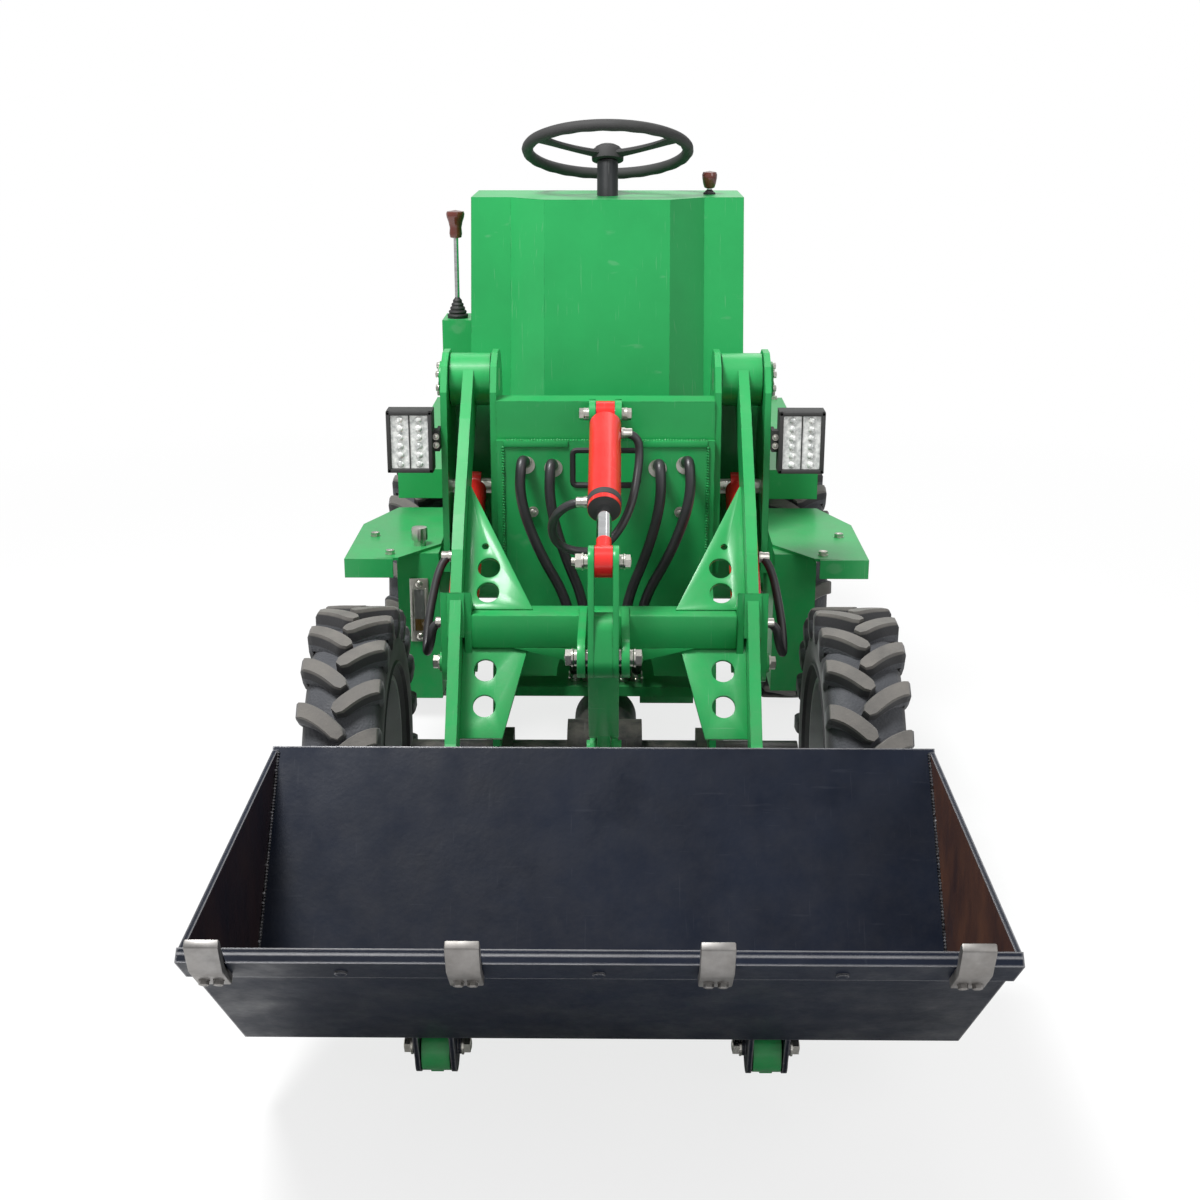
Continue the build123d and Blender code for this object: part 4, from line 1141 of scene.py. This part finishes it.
class LOADER_OT_hoses(LoaderOperator, bpy.types.Operator):
    """Hydraulic hoses with their ferrules, and the grommets and rubber trim of the front plate"""
    bl_idname = "loader.hoses"
    bl_label = "Run the hoses"

    def execute(self, context):
        sizes = self.sizes()
        stand_tree("Grommets", grommet_parts)
        rings = [((x, FACE_Y + 0.0002, z), (0, -1, 0), 0.0172) for x, z in HOSE_HOLES]
        stand("hose_grommets", "Grommets", rings, "front_frame", "zinc")
        half, low, high, corner = 0.062, 0.812, 0.880, 0.008
        path = []
        for start, x, z in ((0, half - corner, high - corner), (90, corner - half, high - corner),
                            (180, corner - half, low + corner), (270, half - corner, low + corner)):
            path += [(a, FACE_Y + 0.003, b) for a, b in arc((x, z), corner, start, start + 90, 3)]
        settle("opening_edge_trim", sweep(path, 0.0062, closed=True, sides=8), "front_frame", "rubber")
        runs = []
        for i, ((hx, hz), low_x) in enumerate(zip(HOSE_HOLES, (-0.062, -0.034, 0.034, 0.062))):
            runs.append((f"front_hose_{i + 1}", "front_frame", sizes.pressure_hose, [
                (hx, -0.199, hz), (hx, -0.228, hz + 0.012), (hx * 1.04, -0.262, hz + 0.020),
                (hx * 1.06, -0.276, hz - 0.050), (low_x + (hx - low_x) * 0.72, -0.268, 0.700),
                (low_x + (hx - low_x) * 0.10, -0.256, 0.600), (low_x, -0.246, 0.500), (low_x, -0.180, 0.440),
                (low_x, -0.150, 0.428), (low_x, -0.150, 0.4001)]))
        for s, side in ((1, "right"), (-1, "left")):
            runs.append((f"lift_hose_{side}", "lift_barrels", sizes.cylinder_hose, [
                (s * a, b, c) for a, b, c in (
                    (0.2880, -0.262, 0.688), (0.308, -0.262, 0.688), (0.330, -0.318, 0.584),
                    (0.332, -0.360, 0.522), (0.318, -0.394, 0.560), (0.312, -0.394, 0.601),
                    (0.2880, -0.394, 0.601))]))
        runs.append(("tilt_hose_loop", "tilt_barrel", sizes.cylinder_hose, [
            (-0.0291, -0.483, 0.849), (-0.062, -0.483, 0.849), (-0.098, -0.440, 0.800),
            (-0.084, -0.400, 0.742), (-0.010, -0.385, 0.728), (0.044, -0.366, 0.790),
            (0.064, -0.302, 0.880), (0.060, -0.295, 0.931), (0.0291, -0.295, 0.931)]))
        ferrules = {}
        for name, body, width, points in runs:
            hose = self.tube(name, points, width)
            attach(hose, body)
            self.run_length(hose)
            for end, inner in ((points[0], points[1]), (points[-1], points[-2])):
                ferrules.setdefault(body, []).append(self.ferrule(end, inner, width / 2))
        for body, made in ferrules.items():
            settle(f"hose_ferrules_{body}", made, body, "zinc")
        return {"FINISHED"}

    def ferrule(self, end, inner, radius):
        profile = [(1.02, 0.0), (1.30, 0.0006), (1.30, 0.006), (1.12, 0.008), (1.16, 0.018), (1.04, 0.020)]
        way = Vector(inner) - Vector(end)
        return turned([(radius * share, height) for share, height in profile], 18, aim_matrix(end, way))

    def tube(self, name, points, width):
        curve = bpy.data.curves.new(name, "CURVE")
        curve.dimensions = "3D"
        curve.bevel_depth = 1.0
        curve.bevel_resolution = 4
        curve.use_fill_caps = True
        spline = curve.splines.new("NURBS")
        spline.points.add(len(points) - 1)
        for spot, place in zip(spline.points, points):
            spot.co = (*place, 1.0)
            spot.radius = width / 2
        spline.order_u = 3
        spline.use_endpoint_u = True
        spline.resolution_u = 10
        curve.materials.append(bpy.data.materials["hose_rubber"])
        hose = bpy.data.objects.new(name, curve)
        collection().link(hose)
        return hose

    def run_length(self, hose):
        width, hose.data.bevel_depth = hose.data.bevel_depth, 0.0
        depsgraph = bpy.context.evaluated_depsgraph_get()
        line = bpy.data.meshes.new_from_object(hose.evaluated_get(depsgraph), depsgraph=depsgraph)
        places = [v.co.copy() for v in line.vertices]
        bpy.data.meshes.remove(line)
        hose.data.bevel_depth = width
        return sum((b - a).length for a, b in zip(places, places[1:]))


class LOADER_OT_steering(LoaderOperator, bpy.types.Operator):
    """Steering wheel with its grips, spokes and hub"""
    bl_idname = "loader.steering"
    bl_label = "Fit the steering wheel"

    radius = 0.168
    grip_radius = 0.0118

    def execute(self, context):
        place = Matrix.Translation(STEERING_CENTRE) @ Matrix.Rotation(-STEERING_TILT, 4, "X")
        made = [self.grip_ring(place)]
        made += [self.spoke(place @ Matrix.Rotation(radians(90 + 120 * k), 4, "Z")) for k in range(3)]
        hub = [(0.020, -0.022), (0.033, -0.021), (0.034, -0.006), (0.031, 0.001), (0.027, 0.003),
               (0.026, 0.006), (0.018, 0.0105), (0.0, 0.012)]
        made.append(turned(hub, 36, place))
        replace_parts(settle("steering_wheel_moulding", made, "steering_wheel", "plastic"), "steering_wheel")
        collar = turned([(0.0135, -0.052), (0.0135, -0.026), (0.018, -0.0225)], 24, place)
        settle("steering_shaft_collar", collar, "rear_frame", "zinc")
        return {"FINISHED"}

    def grip_ring(self, place):
        """The rim, with finger waves along its underside."""
        shape = bmesh.new()
        rings = []
        steps, sides = 120, 14
        for a in (2 * pi * k / steps for k in range(steps)):
            ring = []
            for b in (2 * pi * j / sides for j in range(sides)):
                r = self.grip_radius * (1.0 + 0.045 * sin(24 * a) if sin(b) < 0.2 else 1.0)
                reach = self.radius + r * cos(b)
                ring.append(shape.verts.new((reach * cos(a), reach * sin(a), r * sin(b))))
            rings.append(ring)
        skin(shape, rings, closed=True)
        outward(shape)
        shape.transform(place)
        return to_mesh(shape, "rim")

    def spoke(self, place):
        """A spoke that narrows in the middle and rises towards the rim."""
        shape = bmesh.new()
        rows = []
        start, end, steps = 0.022, 0.166, 12
        section = ((-1, -0.6), (-1, 0.6), (-0.4, 1), (0.4, 1), (1, 0.6), (1, -0.6), (0.4, -1), (-0.4, -1))
        for t in (i / steps for i in range(steps + 1)):
            half = 0.017 - 0.008 * sin(pi * min(1.0, t * 1.05)) + 0.003 * t * t
            thick = 0.0032 + 0.0016 * (1 - t)
            middle = -0.010 + 0.010 * t * t
            rows.append([shape.verts.new((start + (end - start) * t, y * half,
                                          middle + h * (thick + (0.002 if abs(y) < 0.5 else 0.0))))
                         for y, h in section])
        skin(shape, rows)
        outward(shape)
        shape.transform(place)
        return to_mesh(shape, "spoke")


class LOADER_OT_controls(LoaderOperator, bpy.types.Operator):
    """Levers with their boots, rods and knobs"""
    bl_idname = "loader.controls"
    bl_label = "Fit the controls"

    def execute(self, context):
        main = Matrix.Translation((-0.322, 0.330, 1.052))
        short = Matrix.Translation((0.215, 0.350, CONSOLE_TOP))
        boot = [(0.022, 0.0)]
        for k in range(5):
            r = 0.0215 - 0.003 * k
            z = 0.002 + 0.0075 * k
            boot += [(r, z + 0.001), (r * 1.06, z + 0.0035), (r, z + 0.006), (r * 0.84, z + 0.0075)]
        boot += [(0.006, 0.042), (0.0052, 0.044)]
        boots = [turned(boot, 24, main)]
        boots.append(turned([(0.013, 0.0), (0.013, 0.003), (0.009, 0.006), (0.0055, 0.010)], 20, short))
        settle("lever_boots", boots, "rear_frame", "rubber")
        rods = [turned([(0.005, low), (0.005, high)], 14, place)
                for low, high, place in ((0.04, 0.175, main), (0.002, 0.022, short))]
        settle("lever_rods", rods, "rear_frame", "chrome")
        grip = [(0.007, 0.168), (0.012, 0.170), (0.0135, 0.178), (0.0125, 0.190), (0.0150, 0.202),
                (0.0185, 0.212), (0.0195, 0.219), (0.0180, 0.2235), (0.0, 0.2265)]
        ball = [(0.007, 0.012), (0.011, 0.014), (0.0135, 0.022), (0.0155, 0.033), (0.0160, 0.040),
                (0.0140, 0.0455), (0.0, 0.0478)]
        knobs = settle("lever_knobs", [turned(grip, 28, main), turned(ball, 28, short)], "rear_frame",
                       "knob")
        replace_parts(knobs, "levers")
        return {"FINISHED"}


class LOADER_OT_tank(LoaderOperator, bpy.types.Operator):
    """Filler cap and level gauge of the hydraulic tank"""
    bl_idname = "loader.tank"
    bl_label = "Fit the tank"

    def execute(self, context):
        place = Matrix.Translation((-0.396, 0.130, 0.600))
        neck = [(0.013, -0.005), (0.013, 0.010), (0.0165, 0.012), (0.017, 0.016), (0.017, 0.034),
                (0.0155, 0.0385), (0.0, 0.040)]
        cap = turned(neck, 60, place, self.cap_ribs)
        metal = [cap, self.gauge(-0.020, 0.020, 0.070, 0.0812, 0.0852, 0.0015)]
        metal += [self.gauge(s * 0.012, s * 0.017, 0.048, 0.0805, 0.0832, 0.0008) for s in SIDES]
        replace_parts(settle("tank_fitting_metal", metal, "rear_frame", "zinc"), "tank_fittings")
        glass = self.gauge(-0.011, 0.011, 0.046, 0.0806, 0.083, 0.001)
        settle("tank_gauge_window", glass, "rear_frame", "window")
        screws = [((self.gauge_x, 0.0814, self.gauge_z + s * 0.058), FRONT, 0.016) for s in SIDES]
        stand("tank_gauge_screws", "Round screws", screws, "rear_frame", "zinc")
        return {"FINISHED"}

    gauge_x, gauge_z = -0.395, 0.470

    def cap_ribs(self, angle, height):
        """Grooves for the fingers, round the cap's straight side."""
        grooved = 0.014 < height < 0.036 and sin(15 * angle) > 0
        return 1.0 - (0.045 if grooved else 0.0)

    def gauge(self, left, right, half_height, near, far, bevel):
        """A block of the level gauge, left and right from its middle."""
        return slab((self.gauge_x + left, near, self.gauge_z - half_height),
                    (self.gauge_x + right, far, self.gauge_z + half_height), bevel)


class LOADER_OT_seat(LoaderOperator, bpy.types.Operator):
    """Seat cushions, blown up as cloth, with sewn channels"""
    bl_idname = "loader.seat"
    bl_label = "Upholster the seat"

    def execute(self, context):
        cushion = self.pad("seat_cushion", (-0.222, 0.708, 0.9265), (0.222, 1.122, 1.018), 0.026)
        back = self.pad("seat_backrest", (-0.212, 1.066, 1.040), (0.212, 1.142, 1.226), 0.022)
        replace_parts(cushion, "seat")
        return {"FINISHED"}

    # How far the cloth may swell from its form and out of its box
    swell, slack = 0.022, 0.004

    def blow_up(self, piece):
        cloth = piece.modifiers.new("cloth", "CLOTH")
        cloth.settings.use_pressure = True
        cloth.settings.uniform_pressure_force = 4.0
        cloth.settings.effector_weights.gravity = 0.0
        cloth.settings.quality = 4
        scene = bpy.context.scene
        for step in range(1, 21):
            scene.frame_set(step)
        self.apply(piece)
        scene.frame_set(1)

    def pad(self, name, low, high, bevel):
        piece = bpy.data.objects.new(name, slab(low, high, bevel, segments=4, profile=0.6))
        collection().link(piece)
        remesh = piece.modifiers.new("remesh", "REMESH")
        remesh.mode = "VOXEL"
        remesh.voxel_size = self.sizes().cushion_voxel
        self.apply(piece)
        start = [v.co.copy() for v in piece.data.vertices]
        self.blow_up(piece)
        box_low = [low[0] - self.slack, low[1] - self.slack, low[2] - 0.001]
        box_high = [b + self.slack for b in high]
        for vert, home in zip(piece.data.vertices, start):
            move = vert.co - home
            if move.length > self.swell:
                move *= self.swell / move.length
            there = home + move
            vert.co = Vector(min(max(there[i], box_low[i]), box_high[i]) for i in range(3))
        self.channels(piece, low, high, name)
        subdivide = piece.modifiers.new("smooth", "SUBSURF")
        subdivide.levels = subdivide.render_levels = 1
        self.apply(piece)
        for face in piece.data.polygons:
            face.use_smooth = True
        piece.data.materials.clear()
        piece.data.materials.append(bpy.data.materials["seat_vinyl"])
        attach(piece, "rear_hood")
        return piece

    def channels(self, piece, low, high, name):
        """Sewn channels across the pad, and a dished middle."""
        flat = name == "seat_cushion"
        for vert in piece.data.vertices:
            x, y, z = vert.co
            across = (x - low[0]) / (high[0] - low[0]) * 2 - 1
            run = (y - low[1]) / (high[1] - low[1]) if flat else (z - low[2]) / (high[2] - low[2])
            facing = z > low[2] + 0.055 if flat else y < low[1] + 0.03
            if not facing:
                continue
            inside = max(0.0, 1.0 - abs(across) ** 4) * max(0.0, sin(pi * min(1.0, max(0.0, run)))) ** 0.4
            seams = sum(max(0.0, 1.0 - abs(run - line) / 0.035) ** 2 for line in (0.28, 0.5, 0.72))
            depth = 0.005 * seams * inside + 0.008 * inside * (1 - across * across)
            if flat:
                vert.co.z = z - depth
            else:
                vert.co.y = y + depth * 0.7

    def apply(self, piece):
        depsgraph = bpy.context.evaluated_depsgraph_get()
        mesh = bpy.data.meshes.new_from_object(piece.evaluated_get(depsgraph), depsgraph=depsgraph)
        piece.modifiers.clear()
        piece.data = mesh


class LOADER_OT_tyres(LoaderOperator, bpy.types.Operator):
    """Tyres with two rows of curved bars meeting in a chevron"""
    bl_idname = "loader.tyres"
    bl_label = "Fit the tyres"

    def execute(self, context):
        half = [(0.053, 0.1685), (0.0600, 0.180), (0.0640, 0.187), (0.0705, 0.189), (0.0712, 0.193),
                (0.0675, 0.196), (0.0690, 0.202), (0.0712, 0.214), (0.0712, 0.232), (0.0680, 0.248),
                (0.0600, 0.260), (0.0440, 0.2670), (0.0220, 0.2700)]
        section = half + [(0.0, 0.2710)] + [(-x, r) for x, r in reversed(half)]
        for name, end, sign in WHEEL_SIDES:
            centre = Vector((sign * WHEEL_X, AXLE_Y[end], AXLE_Z))
            shape = bmesh.new()
            turns = [2 * pi * k / self.steps for k in range(self.steps)]
            rings = [[shape.verts.new((x, -r * cos(a), r * sin(a))) for x, r in section] for a in turns]
            skin(shape, rings, closed=True)
            for row in SIDES:
                for k in range(self.bars):
                    self.bar(shape, row, 2 * pi * (k + 0.25 * row) / self.bars)
            bmesh.ops.recalc_face_normals(shape, faces=shape.faces)
            shape.transform(Matrix.Translation(centre))
            tyre = settle(f"chevron_tyre_{name}", to_mesh(shape, "tyre"), f"wheel_{name}", f"tyre_{end}")
            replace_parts(tyre, f"tyre_{name}")
        return {"FINISHED"}

    steps, bars = 96, 20

    def bar(self, shape, row, start):
        """One bar: from beside the centre line, curving to the shoulder and down the side wall."""
        run, sweep_back, bend = 0.078, 0.050, 1.7
        stations = []
        for i in range(12):
            u = i / 11
            x = run * u - 0.007
            t = sweep_back * (1 - (1 - u) ** bend)
            slope = atan2(sweep_back * bend * (1 - u) ** (bend - 1), run)
            width = 0.0142 * min(1.0, 0.50 + 5.0 * u) * (1.0 + 0.12 * u)
            stations.append((x, t, slope, width, TYRE_R - 0.35 * x * x, x, 0.262))
        x, t, slope, width = stations[-1][:4]
        stations[-1] = (x - 0.001, t, slope, width, 0.2965, 0.066, 0.258)
        stations.append((0.0745, t, 0.0, width, 0.2880, 0.066, 0.252))
        stations.append((0.0748, t, 0.0, width * 0.96, 0.2560, 0.066, 0.244))
        stations.append((0.0728, t, 0.0, width * 0.90, 0.2400, 0.066, 0.236))
        rings = []
        for x, t, slope, width, top, base_x, base in stations:
            across = (-sin(slope), cos(slope))
            ring = []
            for w, lift in ((-1.22, 0.0), (-1.0, 0.86), (-0.84, 1.0), (0.84, 1.0), (1.0, 0.86), (1.22, 0.0)):
                px = base_x + (x - base_x) * lift + across[0] * w * width
                px = min(px, 0.0749)
                turn = start + (t + across[1] * w * width) / TYRE_R
                r = base + (top - base) * lift
                ring.append(shape.verts.new((row * px, -r * cos(turn), r * sin(turn))))
            rings.append(ring)
        skin(shape, rings)


class LOADER_OT_linkage(LoaderOperator, bpy.types.Operator):
    """Box-section cross member with its gussets, the bell crank and the cylinders' trim"""
    bl_idname = "loader.linkage"
    bl_label = "Dress the linkage"

    def execute(self, context):
        ear_x = ARM_X - 0.027
        made = [slab((-ear_x - 0.0005, -0.505, 0.588), (ear_x + 0.0005, -0.445, 0.650), 0.004)]
        lug = hull((CRANK_PIVOT, 0.034), ((-0.480, 0.612), 0.044))
        wedge = [(0.044, 0.5895), (0.160, 0.5895), (0.044, 0.560)]
        flat = Matrix(((1, 0, 0, 0), (0, 0, 1, -0.505), (0, 1, 0, 0), (0, 0, 0, 1)))
        right = [plate([lug], 0.030, 0.014, 0.0015), plate([wedge], 0, 0.050, 0.001, flat)]
        for start, slope, widths, length, holes in (
            ((-0.470, 0.646), 44.7, (0.124, 0.004), 0.255, ((0.043, 0.034, 0.020), (0.043, 0.084, 0.020),
                                                          (0.035, 0.128, 0.006))),
            ((-0.588, 0.450), 53.8, (0.074, 0.122), 0.190, ((0.041, 0.058, 0.020), (0.041, 0.123, 0.020))),
        ):
            loops = [[(0, 0), (widths[0], 0), (widths[1], length), (0, length)]]
            loops += [circle((a, b), r, 32) for a, b, r in holes]
            place = Matrix.Translation((-ARM_X + 0.010, *start)) @ Matrix.Rotation(radians(slope), 4, "X")
            right.append(mirrored(plate(loops, 0, 0.008, 0.0008, place)))
        made += [mirrored(mesh) for mesh in right] + right
        member = settle("arm_cross_box", made, "arms", "green")
        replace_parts(member, "arm_cross_member")
        pin = pin_x(-0.050, 0.050, CRANK_PIVOT, 0.015)
        settle("crank_pivot_pin", pin, "arms", "zinc")

        pivot, top, foot = Vector(CRANK_PIVOT), Vector(CRANK_TOP), Vector(CRANK_FOOT)
        below_eye = top + (pivot - top).normalized() * 0.116
        above_foot = foot + (pivot - foot).normalized() * 0.078
        wide, core = 0.026, 0.0155
        crank = [plate([hull((pivot[:], 0.034), (above_foot[:], 0.029))], -wide, 2 * wide, 0.002),
                 plate([hull((pivot[:], 0.036), (below_eye[:], 0.029))], -core, 2 * core),
                 plate([hull((pivot[:], 0.030), (foot[:], 0.028))], -0.012, 0.024, 0.002)]
        for start in (-wide, core):
            crank.append(plate([hull((pivot[:], 0.036), (top[:], 0.027))], start, wide - core, 0.0015))
        body = settle("bell_crank_box", crank, "bell_crank", "green")
        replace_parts(body, "bell_crank")
        pins = [pin_x(-0.033, 0.033, CRANK_TOP, 0.0125), pin_x(-0.030, 0.030, CRANK_FOOT, 0.0125)]
        settle("crank_pins", pins, "bell_crank", "zinc")

        rings = {}
        for body, base, tip, gland, radius, sides in (
            ("tilt_barrel", TILT_BASE, CRANK_TOP, 0.2864, 0.029, (0.0,)),
            ("lift_barrels", (-0.110, 0.788), LIFT_EYE, 0.365, 0.028, (-ARM_X, ARM_X)),
        ):
            way = (Vector(tip) - Vector(base)).normalized()
            for x in sides:
                foot_of = Vector((x, *(Vector(base) + way * (gland - 0.026))))
                place = aim_matrix(foot_of, (0, *way))
                profile = [(radius - 0.004, 0.0), (radius + 0.0012, 0.0008), (radius + 0.0012, 0.014),
                           (radius - 0.0005, 0.016), (radius - 0.0005, 0.0262), (0.021, 0.0272),
                           (0.0165, 0.0275)]
                rings.setdefault(body, []).append(turned(profile, 36, place))
        for body, made in rings.items():
            settle(f"gland_nuts_{body}", made, body, "gland")
        return {"FINISHED"}


class LOADER_OT_teeth(LoaderOperator, bpy.types.Operator):
    """Bent teeth bolted under the bucket's lip"""
    bl_idname = "loader.teeth"
    bl_label = "Bolt on the teeth"

    def execute(self, context):
        profile = [(-0.056, 0.012), (-0.056, 0.026), (0.004, 0.026), (0.030, 0.0145), (0.0463, 0.006),
                   (0.0463, -0.006), (0.036, -0.006), (0.020, 0.001), (0.002, 0.012)]
        outline = [(LIP + FLOOR_WAY * ahead - FLOOR_UP * below).yz for ahead, below in profile]
        width = 0.045
        made = [plate([outline], x - width / 2, width, 0.0022) for x in TOOTH_X]
        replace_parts(settle("bent_teeth", made, "bucket", "tooth"), "bucket_teeth")
        return {"FINISHED"}


class LOADER_OT_bodywork(LoaderOperator, bpy.types.Operator):
    """Louvres and catches of the hood, the front plate's flange and the hubs' rings"""
    bl_idname = "loader.bodywork"
    bl_label = "Trim the bodywork"

    def execute(self, context):
        slats = [self.slat(k, (s * 0.3202, 0.935), s * 0.6, "Y", (-0.001, -0.130), (0.0055 * s, 0.130))
                 for s in SIDES for k in range(6)]
        slats += [self.slat(k, (0.0, 1.2502), -0.6, "X", (-0.180, -0.001), (0.180, 0.0055)) for k in range(6)]
        settle("hood_louvres", slats, "rear_hood", "green")
        blocks = ((0.3195, 0.655, 0.700, 0.3265, 0.685, 0.742), (0.3255, 0.662, 0.722, 0.3315, 0.678, 0.738))
        catches = [slab((s * x0, y0, z0), (s * x1, y1, z1), 0.002)
                   for s in SIDES for x0, y0, z0, x1, y1, z1 in blocks]
        catches.append(slab((-0.05, 0.6135, 0.800), (0.05, 0.6205, 0.812), 0.002))
        settle("hood_catches", catches, "rear_hood", "plastic")
        ring = [(0.060, 0.0262), (0.060, 0.030), (0.052, 0.0345), (0.040, 0.0355), (0.0262, 0.0365),
                (0.0255, 0.0262)]
        for name, end, sign in WHEEL_SIDES:
            axle = Matrix.Translation((sign * WHEEL_X, AXLE_Y[end], AXLE_Z))
            outwards = Matrix.Rotation(radians(90 * sign), 4, "Y")
            settle(f"hub_ring_{name}", turned(ring, 40, axle @ outwards), f"wheel_{name}", "rim")
        strips = [slab((s * 0.070, FACE_Y - 0.003, 0.886), (s * 0.192, FACE_Y + 0.001, 0.8985), 0.001)
                  for s in SIDES]
        settle("front_plate_flange", strips, "front_frame", "green")
        return {"FINISHED"}

    def slat(self, row, centre, lean, axis, near, far):
        """One leaning louvre; near and far are its corners beside the hood's wall."""
        place = Matrix.Translation((*centre, 0.735 + 0.0165 * row)) @ Matrix.Rotation(lean, 4, axis)
        return slab((*near, -0.0030), (*far, 0.0030), 0.0008, place)


class LOADER_PT_panel(bpy.types.Panel):
    """Lists the steps and their settings"""
    bl_idname = "LOADER_PT_panel"
    bl_label = "Mini loader"
    bl_space_type = "VIEW_3D"
    bl_region_type = "UI"
    bl_category = "Loader"

    def draw(self, context):
        for group in (context.scene.loader_sizes, context.scene.loader_colours):
            for name in group.bl_rna.properties.keys():
                if name not in ("rna_type", "name"):
                    self.layout.prop(group, name)
        for step in STEPS:
            self.layout.operator(step.bl_idname)


STEPS = (
    LOADER_OT_finishes,
    LOADER_OT_stage,
    LOADER_OT_fasteners,
    LOADER_OT_welds,
    LOADER_OT_lamps,
    LOADER_OT_hoses,
    LOADER_OT_steering,
    LOADER_OT_controls,
    LOADER_OT_tank,
    LOADER_OT_seat,
    LOADER_OT_tyres,
    LOADER_OT_linkage,
    LOADER_OT_teeth,
    LOADER_OT_bodywork,
)
CLASSES = (LoaderSizes, LoaderColours, *STEPS, LOADER_PT_panel)


def register():
    for item in CLASSES:
        bpy.utils.register_class(item)
    bpy.types.Scene.loader_sizes = bpy.props.PointerProperty(type=LoaderSizes)
    bpy.types.Scene.loader_colours = bpy.props.PointerProperty(type=LoaderColours)


def unregister():
    del bpy.types.Scene.loader_colours
    del bpy.types.Scene.loader_sizes
    for item in reversed(CLASSES):
        bpy.utils.unregister_class(item)


def main():
    register()
    for step in STEPS:
        group, name = step.bl_idname.split(".")
        getattr(getattr(bpy.ops, group), name)()
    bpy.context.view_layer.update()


if __name__ == "__main__":
    main()
